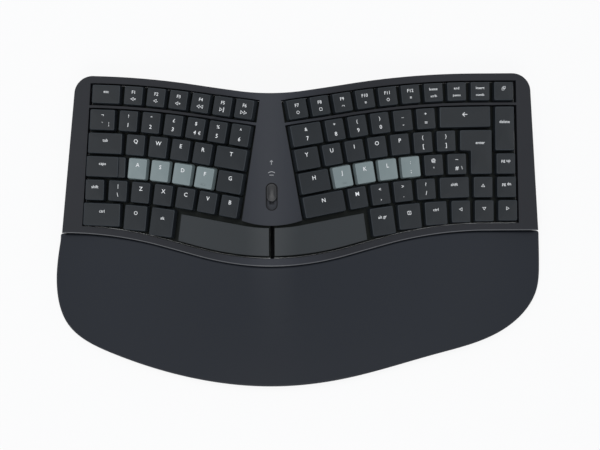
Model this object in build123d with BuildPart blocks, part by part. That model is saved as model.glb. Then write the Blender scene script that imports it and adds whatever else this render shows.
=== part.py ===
from build123d import *
from math import asin, cos, radians, sin, tan
import os

# A tented, wave-shaped keyboard with a moulded palm rest. Lengths are in millimetres, angles in degrees.
# X runs along the keyboard, Y from the palm rest to the rear edge, Z up from the desk.
# u is the distance from the spine, the high ridge between the two halves, measured along X.

# Overall reach of the outline from the spine and from the line that the rows are measured from
left_reach = 180.4
right_reach = 219.8
front_reach = 133.8
rear_reach = 122.5
spine_x = (left_reach - right_reach) / 2
datum_y = (front_reach - rear_reach) / 2

# The wave of the key tops, seen from the front
crown_height = 49.5
tent_angle = 20
crown_reach = 22
wing_reach = 165

# Keys
key_pitch = 19.05
row_pitch = 19.0
function_row_gap = 20.8
key_gap = 4.6
key_depth = 15.7
function_key_depth = 14.0
row_heading = 10.8
row_bend_reach = 61.3
number_line = 65.3
row_lean = 3.14
first_edge_left = 12.1
first_edge_right = 11.0
key_travel = 2.8
key_proud = 2.5
cap_height = 4.6
cap_taper = 9
cap_edge = 0.5
cap_edge_taper = 35
cap_corner = 3.2
cap_wall = 1.1
cap_roof = 1.4
enter_foot_width = 16.2
ledge_width = 5.6
ledge_drop = 1.0
bar_length = 3.6
bar_width = 0.9
bar_height = 0.35
bar_setback = 2.6
space_gap = 4.4
space_outer_rear = 72.6
space_outer_front = 75.4
space_rear_line = -2.4
space_setback = 2.2
space_height = 4.8
space_roof = 1.6
space_seat = 0.2
space_stem_inner = 15.6
space_stem_outer = 21
space_stem_cross = 7.4
space_stem_setback = 5.2

# Switches, circuit sheets and plates, as depths below the key tops
stem_size = 4.4
fit_gap = 0.05
housing_top_depth = 5.4
housing_taper = 20
housing_size = 13.2
housing_bore = 5.6
housing_floor = 0.4
sheet_depth = 10
sheet_thickness = 0.5
plate_thickness = 1.2
plate_split = 3.0
plate_margin = 4.2
plate_rear_margin = 1.2
seat_gap = 0.12
ribbon_width = 20
ribbon_thickness = 0.4
ribbon_reach = 26
ribbon_line = 48

# Case
case_wall = 2.2
rear_line = 103.6
rear_heading = 11.4
rear_crown = 24
side_left_rear = 160.0
side_left_front = 174.6
side_right_rear = 209.4
side_right_front = 217.2
rear_corner = 15
seam_line = -32.2
seam_heading = 14.8
seam_crown = 60
seam_bend = 90
seam_reach = 175
lip_width = 6.0
tip_line = -0.6
tip_half = 23.6
tip_rise = 4.1
well_clearance = 1.6
well_inner_lean = 0.15
well_left_rear = 147.6
well_left_front = 157.8
well_right_rear = 198.2
well_right_front = 200.8
well_rear_line = 95.2
divider_line = 76.2
divider_width = 2.0
rim_wall = 1.2
cut_overrun = 5

# Floor and feet
foot_height = 2.2
foot_radius = 7
floor_thickness = 2.0
part_gap = 0.3
edge_setback = 0.6
seam_overlap = 3
# Places as shares of the reach to that side of the spine and of the reach to the rear or the front
foot_shares = [(-0.72, 0.8), (0, 0.506), (0.796, 0.8), (-0.776, -0.628), (0, -0.882), (0.7825, -0.628)]
boss_radius = 3.0
boss_inset = 8.6
boss_line_shares = [0.004, 0.392, 0.784]
screw_radius = 1.2
screw_head_radius = 2.4
screw_head_height = 1.1
screw_reach = 7
plate_boss_radius = 2.2
plate_screw_radius = 0.8
plate_screw_head = 1.6
plate_screw_head_height = 0.8
plate_screw_reach = 3.4
screw_bore = screw_radius + fit_gap
plate_screw_bore = plate_screw_radius + fit_gap
plate_screw_left_shares = [(-0.0305, 0.506), (-0.876, 0.163), (-0.848, 0.588)]
plate_screw_right_shares = [(0.025, 0.506), (0.926, 0.163), (0.9213, 0.588)]

# Palm rest
palm_step = 1.0
palm_edge_height = 10
palm_skin = 1.6
palm_pad = 7
palm_shell = 2.4
palm_seam_gap = 0.3
palm_fit = 0.15
palm_base_edge = 6.0
palm_base_fall = 25
palm_side_power = 6
palm_half_shares = [0.055, 0.12, 0.22, 0.38, 0.56, 0.74, 0.9, 1.04]
palm_along_shares = [0, 0.25, 0.5, 0.75, 1]
palm_screw_left_shares = [(-0.255, -0.314), (-0.0887, -0.3587), (-0.122, -0.583)]
palm_screw_right_shares = [(0.1, -0.583), (0.0728, -0.3587), (0.2093, -0.314)]
# Places of the palm rest's edge, as shares of the reach to that side and of the front reach
palm_left_shares = [(0.976, 0.080), (1.0, 0.34), (0.955, 0.60), (0.741, 0.792), (0.389, 0.943)]
palm_right_shares = [(0.283, 0.949), (0.607, 0.806), (0.902, 0.612), (0.991, 0.41), (1.0, 0.25), (0.998, 0.080)]

# Mode switch on the spine
slot_width = 8.4
slot_length = 20.8
slot_line = 21.9
knob_gap = 0.4
knob_length = 13.8
knob_proud = 0.5
switch_body_width = 12
switch_body_length = 27
switch_body_height = 4
switch_stem_width = 3
switch_stem_length = 5
switch_stem_drop = 2.6
switch_body_depth = 5.3

# Electronics behind the spine
controller_length = 34
controller_depth = 27
controller_lift = 2.8
controller_thickness = 1.6
socket_width = 9.0
socket_height = 3.2
socket_length = 7.4
socket_wall = 0.4
socket_reach = 1.7
socket_back = 1.0
board_rise = foot_height + floor_thickness + controller_lift + controller_thickness
socket_z = board_rise + fit_gap + socket_height / 2
post_size = 4
battery_length = 44
battery_width = 54
battery_height = 7
battery_u = -52
battery_line = 22
battery_bevel = 1.0

# Fold-out legs
leg_u = 60
leg_line = 92
leg_width = 26
leg_length = 20
leg_thickness = 4.0
leg_gap = 0.4
leg_pin_radius = 1.2
leg_pin_length = 2.0
leg_pocket_roof = 1.2
leg_pocket_wall = 3.2
leg_rear_gap = 1.0
leg_pad_length = 2.4
leg_pad_bevel = 0.6
pin_gap = 0.12


class Wave:
    """A line that is round across the spine, straight down each half and flat outside.

    It starts from `level` at the spine, turns by `turn` degrees within `crown`, keeps that slope up to
    `bend`, and turns back to flat by `flat`. A negative turn falls away from the spine.
    """

    def __init__(self, level, turn, crown, bend, flat):
        self.level, self.turn = level, radians(turn)
        self.crown, self.bend, self.flat = crown, bend, flat

    def slope(self, u):
        """The line's angle at u, in radians."""
        u = abs(u)
        if u < self.crown:
            return asin(u / self.crown * sin(self.turn))
        if u < self.bend:
            return self.turn
        if u < self.flat:
            return asin((self.flat - u) / (self.flat - self.bend) * sin(self.turn))
        return 0.0

    def at(self, u):
        """The line's height at u. An arc of chord u and angle a climbs by u times the tangent of a / 2."""
        u = abs(u)
        rise = min(u, self.crown) * tan(self.slope(min(u, self.crown)) / 2)
        if u > self.crown:
            rise += (min(u, self.bend) - self.crown) * tan(self.turn)
        if u > self.bend:
            rise += (self.flat - self.bend) * tan(self.turn / 2)
            rise -= (self.flat - min(u, self.flat)) * tan(self.slope(u) / 2)
        return self.level + rise

    def moved(self, distance):
        """The same line at another level."""
        wave = Wave(self.level + distance, 0, self.crown, self.bend, self.flat)
        wave.turn = self.turn
        return wave

    def sunk(self, depth):
        """The line at an even depth below this one, measured square to it."""
        shift = depth * sin(self.turn)
        wave = Wave(self.level - depth, 0, self.crown + shift, self.bend + shift, self.flat)
        wave.turn = self.turn
        return wave

    def draw(self, start, end, point):
        """Adds the line from start to end to the line being built, as arcs and straight runs."""
        joins = [side * stop for side in (-1, 1) for stop in (self.crown, self.bend, self.flat)]
        low, high = min(start, end), max(start, end)
        stops = sorted({low, high} | {stop for stop in joins if low < stop < high})
        for a, b in zip(stops, stops[1:]):
            middle = abs(a + b) / 2
            straight = self.crown <= middle <= self.bend or middle >= self.flat
            ends = point(a, self.at(a)), point(b, self.at(b))
            if straight:
                Line(*ends)
            else:
                ThreePointArc(ends[0], point((a + b) / 2, self.at((a + b) / 2)), ends[1])


def plan_point(u, line):
    """A place in plan, from its distance off the spine and its line."""
    return spine_x + u, datum_y + line


def front_point(u, height):
    """A place seen from the front."""
    return spine_x + u, height


def share_places(shares):
    """Places in plan, from shares of the reach to each side and of the reach to the rear or the front."""
    places = []
    for across, along in shares:
        side_reach = left_reach if across < 0 else right_reach
        end_reach = rear_reach if along > 0 else front_reach
        places.append((across * side_reach, along * end_reach))
    return places


foot_places = share_places(foot_shares)
plate_screw_places = share_places(plate_screw_left_shares + plate_screw_right_shares)
palm_screw_places = share_places(palm_screw_left_shares + palm_screw_right_shares)
key_surface = Wave(crown_height, -tent_angle, crown_reach, crown_reach, wing_reach)
row_path = Wave(0, row_heading, 0, row_bend_reach, wing_reach)
rear_edge = Wave(rear_line, rear_heading, rear_crown, row_bend_reach, wing_reach)
rear_edge = rear_edge.moved(rear_reach - rear_edge.at(wing_reach))
seam_edge = Wave(seam_line, seam_heading, seam_crown, seam_bend, seam_reach)
bezel_surface = key_surface.sunk(key_proud)
plate_depth = sheet_depth + sheet_thickness + 2 * seat_gap
stem_depth = sheet_depth - housing_floor - key_travel - space_seat
floor_z = foot_height + floor_thickness
palm_drop = key_proud + palm_step + palm_skin + palm_pad
body_depth = rear_reach + front_reach
tall = crown_height + cut_overrun


def lean(rear, front, line):
    """Where a side that leans from its rear to its front place stands at a line."""
    share = (rear_reach - line) / (rear_reach - seam_line)
    return rear + (front - rear) * share


def case_side(side, line, inset=0):
    """The case's side wall at a line."""
    rear, front = (side_left_rear, side_left_front) if side < 0 else (side_right_rear, side_right_front)
    return side * (lean(rear, front, line) - inset)


def well_side(side, line, grow=0):
    """The outer side of the key well at a line."""
    rear, front = (well_left_rear, well_left_front) if side < 0 else (well_right_rear, well_right_front)
    return side * (lean(rear, front, line) + grow)


def well_inner(side, line, grow=0):
    """The side of the key well that runs beside the spine."""
    edge = first_edge_left if side < 0 else first_edge_right
    function_line = number_line + function_row_gap
    return side * (edge - well_clearance + well_inner_lean * (function_line - line) - grow)


def filled(draw):
    """The face inside the closed line that a function draws."""
    with BuildSketch() as outline:
        with BuildLine():
            draw()
        make_face()
    return outline.sketch


def case_outline(inset=0, front_inset=0):
    """The case in plan, each wall moved in by the inset."""
    rear = rear_edge.moved(-inset)
    seam = seam_edge.moved(front_inset)
    corner = rear_corner - inset
    half_corner = (1 - cos(radians(45))) * corner

    def draw():
        ends = []
        for side in (-1, 1):
            low_line = rear.at(wing_reach) - corner
            wall = case_side(side, low_line, inset)
            seam_u = case_side(side, seam.at(seam_reach), inset)
            over = wall - side * corner
            ends.append((over, seam_u))
            ThreePointArc(
                plan_point(wall, low_line),
                plan_point(wall - side * half_corner, rear.at(over) - half_corner),
                plan_point(over, rear.at(over)),
            )
            Line(plan_point(wall, low_line), plan_point(seam_u, seam.at(seam_u)))
        rear.draw(ends[0][0], ends[1][0], plan_point)
        seam.draw(ends[0][1], ends[1][1], plan_point)

    return filled(draw)


def palm_outline(inset=0):
    """The palm rest in plan: the seam at the rear and one smooth curve round the front."""
    seam = seam_edge.moved(-palm_seam_gap - inset)
    shares = [(-across, ahead, left_reach) for across, ahead in palm_left_shares]
    shares += [(0, 1, left_reach)]
    shares += [(across, ahead, right_reach) for across, ahead in palm_right_shares]
    edge = [(across * (reach - inset), -ahead * (front_reach - inset)) for across, ahead, reach in shares]

    def draw():
        Spline(*[plan_point(*place) for place in edge])
        for u, line in (edge[0], edge[-1]):
            Line(plan_point(u, line), plan_point(u, seam.at(u)))
        seam.draw(edge[0][0], edge[-1][0], plan_point)

    return filled(draw)


def well_outline(grow=0):
    """The main key well in plan: both halves, joined in front of the spine."""
    top = row_path.moved(divider_line - divider_width / 2 + grow)
    bottom = seam_edge.moved(lip_width - grow)
    tip = tip_line - grow

    def draw():
        for side in (-1, 1):
            inner_u = well_inner(side, top.at(first_edge_left), grow)
            outer_u = well_side(side, top.at(wing_reach), grow)
            foot_u = well_side(side, bottom.at(wing_reach), grow)
            corner = side * (tip_half - grow), tip + tip_rise
            top.draw(inner_u, outer_u, plan_point)
            Line(plan_point(outer_u, top.at(outer_u)), plan_point(foot_u, bottom.at(foot_u)))
            Line(plan_point(inner_u, top.at(inner_u)), plan_point(*corner))
        ThreePointArc(
            plan_point(-(tip_half - grow), tip + tip_rise),
            plan_point(0, tip),
            plan_point(tip_half - grow, tip + tip_rise),
        )
        feet = [well_side(side, bottom.at(wing_reach), grow) for side in (-1, 1)]
        bottom.draw(*feet, plan_point)

    return filled(draw)


def function_well_outline(side, grow=0):
    """The well of the function keys on one side, in plan."""
    top = row_path.moved(well_rear_line + grow)
    bottom = row_path.moved(divider_line + divider_width / 2 - grow)

    def draw():
        ends = []
        for edge in (top, bottom):
            inner_u = well_inner(side, edge.at(first_edge_left), grow)
            outer_u = well_side(side, edge.at(wing_reach), grow)
            edge.draw(inner_u, outer_u, plan_point)
            ends.append((plan_point(inner_u, edge.at(inner_u)), plan_point(outer_u, edge.at(outer_u))))
        Line(ends[0][0], ends[1][0])
        Line(ends[0][1], ends[1][1])

    return filled(draw)


def key_field_outline(grow=0):
    """All the key wells in plan, each grown by the same width."""
    with BuildSketch() as field:
        add(well_outline(grow))
        for side in (-1, 1):
            add(function_well_outline(side, grow))
    return field.sketch


def half_outline(side, margin, rear_margin):
    """The outline of a plate or board that lies under one half's keys."""
    top = row_path.moved(well_rear_line + rear_margin)
    bottom = seam_edge.moved(lip_width - rear_margin)
    middle = side * plate_split / 2
    rear_u = well_side(side, top.at(wing_reach), margin)
    foot_u = well_side(side, bottom.at(wing_reach), margin)

    def draw():
        top.draw(middle, rear_u, plan_point)
        bottom.draw(middle, foot_u, plan_point)
        Line(plan_point(middle, top.at(middle)), plan_point(middle, bottom.at(middle)))
        Line(plan_point(rear_u, top.at(rear_u)), plan_point(foot_u, bottom.at(foot_u)))

    return filled(draw)


def wave_band(depth, thickness=None):
    """What lies below a depth under the key tops, seen from the front, for a thickness or down to the desk."""
    left, right = -left_reach - cut_overrun, right_reach + cut_overrun
    upper = key_surface.sunk(depth)

    def draw():
        upper.draw(left, right, front_point)
        if thickness is None:
            foot = -cut_overrun
            corners = [front_point(left, foot), front_point(right, foot)]
            Line(*corners)
        else:
            lower = key_surface.sunk(depth + thickness)
            lower.draw(left, right, front_point)
            corners = [front_point(left, lower.at(left)), front_point(right, lower.at(right))]
        Line(front_point(left, upper.at(left)), corners[0])
        Line(front_point(right, upper.at(right)), corners[1])

    return filled(draw)


def waved_block(outline, depth, thickness=None, foot=0):
    """A plan outline carried straight up from a foot through a band under the key tops."""
    with BuildPart() as block:
        with BuildSketch(Plane.XY.offset(foot)):
            add(outline)
        extrude(amount=tall)
        with BuildSketch(Plane.XZ):
            add(wave_band(depth, thickness))
        extrude(amount=body_depth, both=True, mode=Mode.INTERSECT)
    return block.part


# Where each key lies. Rows are listed from the rear, and keys from the spine outwards.
left_rows = [
    "f6 f5 f4 f3 f2 f1 escape",
    "six five four three two one grave",
    "t r e w q tab",
    "g f d s a caps",
    "b v c x z backslash shift_left",
    "space_left alt symbol control_left",
]
right_rows = [
    "f7 f8 f9 f10 f11 f12 home end insert layer",
    "seven eight nine zero minus equals backspace delete",
    "y u i o p bracket_open bracket_close enter",
    "h j k l semicolon quote hash enter_foot page_up",
    "n m comma period slash shift_right up page_down",
    "space_right alt_gr menu control_right left down right",
]
# Widths as shares of the key pitch, of the keys that aren't one pitch wide
width_shares = {
    "escape": 1.40, "six": 1.055, "grave": 1.27, "t": 1.565, "tab": 1.66, "g": 1.31, "caps": 1.83,
    "space_left": 4.33, "alt": 1.21, "symbol": 1.17, "control_left": 1.785, "f7": 1.04, "seven": 1.53,
    "backspace": 2.37, "y": 1.22, "enter": 1.55, "h": 1.50, "enter_foot": 1.09, "n": 1.985,
    "shift_right": 1.45, "space_right": 4.30, "alt_gr": 1.21, "menu": 1.17, "control_right": 1.14,
}
# Depths as shares of the plain key's depth, of the front row's deeper keys
depth_shares = {
    "alt": 1.36, "symbol": 1.22, "control_left": 1.11, "alt_gr": 1.36, "menu": 1.22,
    "control_right": 1.13, "left": 1.07, "down": 1.03,
}


class Key:
    """A key's place: a plane on its top, with x along its row and z square to the key tops."""

    def __init__(self, name, side, line, u, width, depth):
        self.name, self.side, self.u, self.width, self.depth = name, side, u, width, depth
        tilt, heading = key_surface.slope(u), row_path.slope(u)
        along = Vector(side * cos(tilt), 0, sin(tilt)) * cos(heading) + Vector(0, sin(heading), 0)
        normal = Vector(-side * sin(tilt), 0, cos(tilt))
        top = Plane((*plan_point(side * u, line + row_path.at(u)), key_surface.at(u)), along * side, normal)
        setback = (depth - key_depth) / 2 if depth > key_depth else 0
        self.plane = Plane(top.from_local_coords((0, -setback, 0)), top.x_dir, top.z_dir)


def step_out(u, distance):
    """The place that lies a distance further out, measured along the row and the key tops."""
    middle = u + distance / 2
    return u + distance * cos(key_surface.slope(middle)) * cos(row_path.slope(middle))


def place_keys():
    """Every key, by name."""
    found = {}
    for side, rows, first_edge in ((-1, left_rows, first_edge_left), (1, right_rows, first_edge_right)):
        for row, names in enumerate(rows):
            line = number_line + function_row_gap if row == 0 else number_line - row_pitch * (row - 1)
            edge = 0 if row == len(rows) - 1 else first_edge + row_lean * row
            for name in names.split():
                cell = key_pitch * width_shares.get(name, 1)
                depth = function_key_depth if row == 0 else key_depth * depth_shares.get(name, 1)
                depth = key_depth + row_pitch if name == "delete" else depth
                found[name] = Key(name, side, line, step_out(edge, cell / 2), cell - key_gap, depth)
                edge = step_out(edge, cell)
    return found


keys = place_keys()
del keys["enter_foot"]

# Keys that share one file. Each group moves on one slide.
key_groups = {
    "escape_key": "escape",
    "function_keys_left": "f6 f5 f4 f3 f2 f1",
    "number_keys_left": "six five four three two one grave",
    "tab_key": "tab",
    "upper_keys_left": "t r e w q",
    "caps_key": "caps",
    "key_g": "g",
    "home_keys_left": "f d s a",
    "shift_key_left": "shift_left",
    "lower_keys_left": "b v c x z backslash",
    "control_key_left": "control_left",
    "symbol_key": "symbol",
    "alt_key": "alt",
    "function_keys_right": "f7 f8 f9 f10 f11 f12",
    "navigation_keys": "home end insert layer",
    "number_keys_right": "seven eight nine zero minus equals",
    "backspace_key": "backspace",
    "delete_key": "delete",
    "upper_keys_right": "y u i o p bracket_open bracket_close",
    "enter_key": "enter",
    "key_h": "h",
    "home_keys_right": "j k l semicolon",
    "quote_keys": "quote hash",
    "page_up_key": "page_up",
    "lower_keys_right": "n m comma period slash",
    "shift_key_right": "shift_right",
    "up_key": "up",
    "page_down_key": "page_down",
    "alt_gr_key": "alt_gr",
    "menu_key": "menu",
    "control_key_right": "control_right",
    "left_key": "left",
    "down_key": "down",
    "right_key": "right",
}
homing_keys = ("f", "j")


cap_edge_flare = cap_edge * tan(radians(cap_edge_taper))
cap_flare = cap_edge_flare + (cap_height - cap_edge) * tan(radians(cap_taper))


def sloped_block(plane, width, depth, levels, corner):
    """A block whose flat sides slope out, with its corners cut. Levels are (depth below the plane, flare)."""
    bottom, widest = levels[-1]
    with BuildPart() as block:
        for x_dir, z_dir, size, mode in (
            (plane.x_dir, plane.y_dir * -1, width, Mode.ADD),
            (plane.y_dir, plane.x_dir, depth, Mode.INTERSECT),
        ):
            right = [(size / 2 + flare, -level) for level, flare in levels]
            left = [(-across, level) for across, level in reversed(right)]
            with BuildSketch(Plane(plane.origin, x_dir, z_dir)):
                with BuildLine():
                    Polyline(*right, *left, close=True)
                make_face()
            extrude(amount=width + depth, both=True, mode=mode)
        with BuildSketch(plane.offset(-bottom)) as plan:
            Rectangle(width + 2 * widest, depth + 2 * widest)
            chamfer(plan.vertices(), corner)
        extrude(amount=bottom, mode=Mode.INTERSECT)
    return block.part


def roof_depth(key):
    """How far the underside of a cap's roof lies below its top."""
    return cap_roof + (ledge_drop if key.name == "caps" else 0)


def cap_fields(key):
    """The rectangles that a cap is made of, each as a plane, a width and a depth. Only enter has two."""
    fields = [(key.plane, key.width, key.depth)]
    if key.name == "enter":
        shift = (key.width - enter_foot_width) / 2, -row_pitch / 2, 0
        foot = Plane(key.plane.from_local_coords(shift), key.plane.x_dir, key.plane.z_dir)
        fields.append((foot, enter_foot_width, key.depth + row_pitch))
    return fields


def key_cap(key):
    """One hollow key cap with sloping sides."""
    roof = roof_depth(key)
    outside = [(0, 0), (cap_edge, cap_edge_flare), (cap_height, cap_flare)]
    inside = [(roof, -cap_wall), (cap_height, cap_flare - cap_wall)]
    with BuildPart() as cap:
        for field in cap_fields(key):
            add(sloped_block(*field, outside, cap_corner))
        for field in cap_fields(key):
            add(sloped_block(*field, inside, cap_corner - cap_wall / 2), mode=Mode.SUBTRACT)
        if key.name == "caps":
            step = key.plane.from_local_coords(((key.width - ledge_width) / 2 + cap_flare, 0, -ledge_drop))
            with BuildSketch(Plane(step, key.plane.x_dir, key.plane.z_dir)):
                Rectangle(ledge_width, key.depth + 2 * cap_height)
            extrude(amount=cap_height, mode=Mode.SUBTRACT)
        if key.name in homing_keys:
            near = key.plane.from_local_coords((0, bar_setback - key.depth / 2, 0))
            with BuildSketch(Plane(near, key.plane.x_dir, key.plane.z_dir)):
                Rectangle(bar_length, bar_width)
            extrude(amount=bar_height)
    return cap.part


def switch_planes(key):
    """Planes on the key tops over each switch and stabiliser of a key."""
    if key.name not in ("space_left", "space_right"):
        return [key.plane]
    planes = []
    for out in (-space_stem_inner, 0, space_stem_outer):
        spot = key.plane.from_local_coords((key.side * out, -space_stem_setback, 0))
        u = spot.X - spine_x
        tilt = key_surface.slope(u)
        normal = Vector(-key.side * sin(tilt), 0, cos(tilt))
        planes.append(Plane((spot.X, spot.Y, key_surface.at(u)), key.plane.x_dir, normal))
    return planes


def stem_planes(key):
    """The same planes turned to the way the key travels, each about the middle of its housing's bore."""
    back = key.plane.z_dir * space_stem_cross
    return [
        Plane(plane.origin - plane.z_dir * space_stem_cross + back, key.plane.x_dir, key.plane.z_dir)
        for plane in switch_planes(key)
    ]


def stems(planes, roof):
    """The square plungers that stand under a cap's roof, each a solid of its own."""
    with BuildPart() as plungers:
        with BuildSketch(*[plane.offset(-roof - fit_gap) for plane in planes]):
            Rectangle(stem_size, stem_size)
        extrude(amount=roof + fit_gap - stem_depth)
    return plungers.part


def space_outline(side, inset=0):
    """A space bar in plan: waved front and rear edges and a slanted outer end."""
    rear = Wave(space_rear_line, row_heading, first_edge_left * 2, row_bend_reach, wing_reach).moved(-inset)
    front = seam_edge.moved(lip_width + space_setback + inset)
    inner = side * (space_gap / 2 + inset)
    rear_u, front_u = side * (space_outer_rear - inset), side * (space_outer_front - inset)

    def draw():
        rear.draw(inner, rear_u, plan_point)
        front.draw(inner, front_u, plan_point)
        Line(plan_point(inner, rear.at(inner)), plan_point(inner, front.at(inner)))
        Line(plan_point(rear_u, rear.at(rear_u)), plan_point(front_u, front.at(front_u)))

    return filled(draw)


def boss_places():
    """Where the case's screws stand, outside the key wells."""
    lines = [share * rear_reach for share in boss_line_shares]
    return [(well_side(side, line, boss_inset), line) for side in (-1, 1) for line in lines]


def hexagons(places, radius, bottom=0):
    """Round posts, screws or holes in plan, drawn with six sides, at a height."""
    with BuildSketch(Plane.XY.offset(bottom)) as sketch:
        with Locations(*[plan_point(*place) for place in places]):
            RegularPolygon(radius, side_count=6)
    return sketch.sketch


def round_slot(line, length, width, bottom):
    """A slot along the spine with round ends, in plan, at a height."""
    with BuildSketch(Plane.XY.offset(bottom)) as sketch:
        with Locations(plan_point(0, line)):
            SlotOverall(length, width, rotation=90)
    return sketch.sketch


def socket_profile(gap):
    """The socket's outline, seen from the rear, at the inside of the rear wall."""
    foot = plan_point(0, rear_edge.at(0) - case_wall)
    with BuildSketch(Plane((*foot, socket_z), (1, 0, 0), (0, -1, 0))) as sketch:
        SlotOverall(socket_width + 2 * gap, socket_height + 2 * gap)
    return sketch.sketch


os.makedirs("parts", exist_ok=True)


def save(part, label):
    """Names a finished piece and writes it."""
    part.label = label
    export_step(part, f"parts/{label}.step")


# Key caps with their plungers
for group, names in key_groups.items():
    members = [keys[name] for name in names.split()]
    with BuildPart() as key_group:
        for key in members:
            add(key_cap(key))
            add(stems(stem_planes(key), roof_depth(key)))
    save(key_group.part, group)

# Space bars
for side, name in ((-1, "space_left"), (1, "space_right")):
    with BuildPart() as space_bar:
        add(waved_block(space_outline(side), 0, space_height))
        add(waved_block(space_outline(side, cap_wall), space_roof, space_height), mode=Mode.SUBTRACT)
        add(stems(stem_planes(keys[name]), space_roof + space_seat))
    save(space_bar.part, name.replace("space", "space_bar"))

# Switch housings, circuit sheet and support plate of each half
for side, half in ((-1, "left"), (1, "right")):
    planes = [plane for key in keys.values() if key.side == side for plane in switch_planes(key)]
    with BuildPart() as switch_housings:
        with BuildSketch(*[plane.offset(-sheet_depth) for plane in planes]):
            Rectangle(housing_size, housing_size)
        extrude(amount=sheet_depth - housing_top_depth, taper=housing_taper)
        with BuildSketch(*[plane.offset(-housing_top_depth) for plane in planes]):
            Rectangle(housing_bore, housing_bore)
        extrude(amount=housing_top_depth + housing_floor - sheet_depth, mode=Mode.SUBTRACT)
    save(switch_housings.part, f"switch_housings_{half}")

    with BuildPart() as circuit_sheet:
        outline = half_outline(side, -part_gap, -part_gap)
        add(waved_block(outline, sheet_depth + seat_gap, sheet_thickness))
        bosses = hexagons(plate_screw_places, plate_boss_radius + part_gap)
        extrude(bosses, amount=tall, mode=Mode.SUBTRACT)
    save(circuit_sheet.part, f"circuit_sheet_{half}")

    with BuildPart() as support_plate:
        add(waved_block(half_outline(side, plate_margin, plate_rear_margin), plate_depth, plate_thickness))
        holes = [place for place in plate_screw_places if place[0] * side > 0]
        extrude(hexagons(holes, plate_screw_bore), amount=tall, mode=Mode.SUBTRACT)
    save(support_plate.part, f"support_plate_{half}")

# Ribbon cable that joins the two sheets, under the plates and the spine
with BuildPart() as ribbon_cable:
    with BuildSketch() as ribbon_plan:
        with Locations(plan_point(0, ribbon_line)):
            Rectangle(2 * ribbon_reach, ribbon_width)
    add(waved_block(ribbon_plan.sketch, plate_depth + plate_thickness + seat_gap, ribbon_thickness))
save(ribbon_cable.part, "ribbon_cable")

# Upper shell: bezel, spine, divider bars and outer walls
rim_top = key_proud + case_wall / 2
rim_depth = sheet_depth - rim_top
boss_depth = plate_depth - fit_gap - rim_top
with BuildPart() as top_case:
    add(waved_block(case_outline(), key_proud, foot=floor_z + fit_gap))
    add(waved_block(case_outline(case_wall, case_wall), key_proud + case_wall), mode=Mode.SUBTRACT)
    add(waved_block(key_field_outline(rim_wall), rim_top, rim_depth))
    with BuildSketch():
        add(key_field_outline())
    extrude(amount=tall, mode=Mode.SUBTRACT)
    for place in boss_places():
        post_height = bezel_surface.at(place[0]) - case_wall / 2 - floor_z
        extrude(hexagons([place], boss_radius, floor_z + fit_gap), amount=post_height)
    extrude(hexagons(boss_places(), screw_bore, floor_z), amount=screw_reach, mode=Mode.SUBTRACT)
    add(waved_block(hexagons(plate_screw_places, plate_boss_radius), rim_top, boss_depth))
    for u, line in plate_screw_places:
        plate_level = key_surface.at(u) - plate_depth
        bore = hexagons([(u, line)], plate_screw_bore, plate_level - cut_overrun)
        extrude(bore, amount=cut_overrun + plate_screw_reach, mode=Mode.SUBTRACT)
    extrude(round_slot(slot_line, slot_length, slot_width, floor_z), amount=tall, mode=Mode.SUBTRACT)
    extrude(socket_profile(part_gap), amount=cut_overrun, both=True, mode=Mode.SUBTRACT)
save(top_case.part, "top_case")


palm_depth = seam_edge.at(seam_reach) + front_reach + 2 * cut_overrun
palm_across_shares = [(-left_reach, share) for share in reversed(palm_half_shares)]
palm_across_shares += [(0, 0)] + [(right_reach, share) for share in palm_half_shares]


def palm_height(u, line, drop, edge):
    """How high the palm rest's top stands over a place, less a drop, with its rim at the edge height."""
    reach = left_reach if u < 0 else right_reach
    ahead = (seam_edge.at(u) - line) / (front_reach + seam_line)
    crest = bezel_surface.at(u) - palm_step - drop
    return edge + (crest - edge) * (1 - ahead**2 - (u / reach) ** palm_side_power)


def palm_block(outline, drop, edge, foot):
    """A plan outline carried up from a foot to the palm rest's top, or to a drop under it."""
    us = [side_reach * share for side_reach, share in palm_across_shares]
    lines = [seam_edge.at(seam_reach) + cut_overrun - share * palm_depth for share in palm_along_shares]
    grid = [[Vector(*plan_point(u, line), palm_height(u, line, drop, edge)) for line in lines] for u in us]
    top = Face.make_surface_from_array_of_points(grid)
    with BuildPart() as block:
        extrude(outline.moved(Location((0, 0, foot))), amount=tall)
        extrude(top, amount=tall, dir=(0, 0, 1), mode=Mode.SUBTRACT)
    return block.part


def palm_core(outline, raised):
    """The rigid core under the cushion: a slab with a hump that follows the wave and falls to the front."""
    crest = key_surface.sunk(palm_drop).moved(raised)
    left, right = -left_reach - cut_overrun, right_reach + cut_overrun

    def draw():
        crest.draw(left, right, front_point)
        Line(front_point(left, crest.at(left)), front_point(left, -tall))
        Line(front_point(right, crest.at(right)), front_point(right, -tall))
        Line(front_point(left, -tall), front_point(right, -tall))

    with BuildPart() as core:
        with BuildSketch(Plane((0, plan_point(0, seam_edge.at(seam_reach))[1], 0), (1, 0, 0), (0, -1, 0))):
            add(filled(draw))
        fall = palm_base_fall / (front_reach + seam_line)
        extrude(amount=palm_depth, dir=(0, -1, -fall))
        with BuildSketch():
            add(outline)
        extrude(amount=tall, mode=Mode.INTERSECT)
        with BuildSketch():
            add(outline)
        extrude(amount=palm_base_edge + raised)
    with BuildPart() as trimmed:
        extrude(outline.moved(Location((0, 0, floor_z + fit_gap))), amount=tall)
        add(core.part, mode=Mode.INTERSECT)
    return trimmed.part


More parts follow.
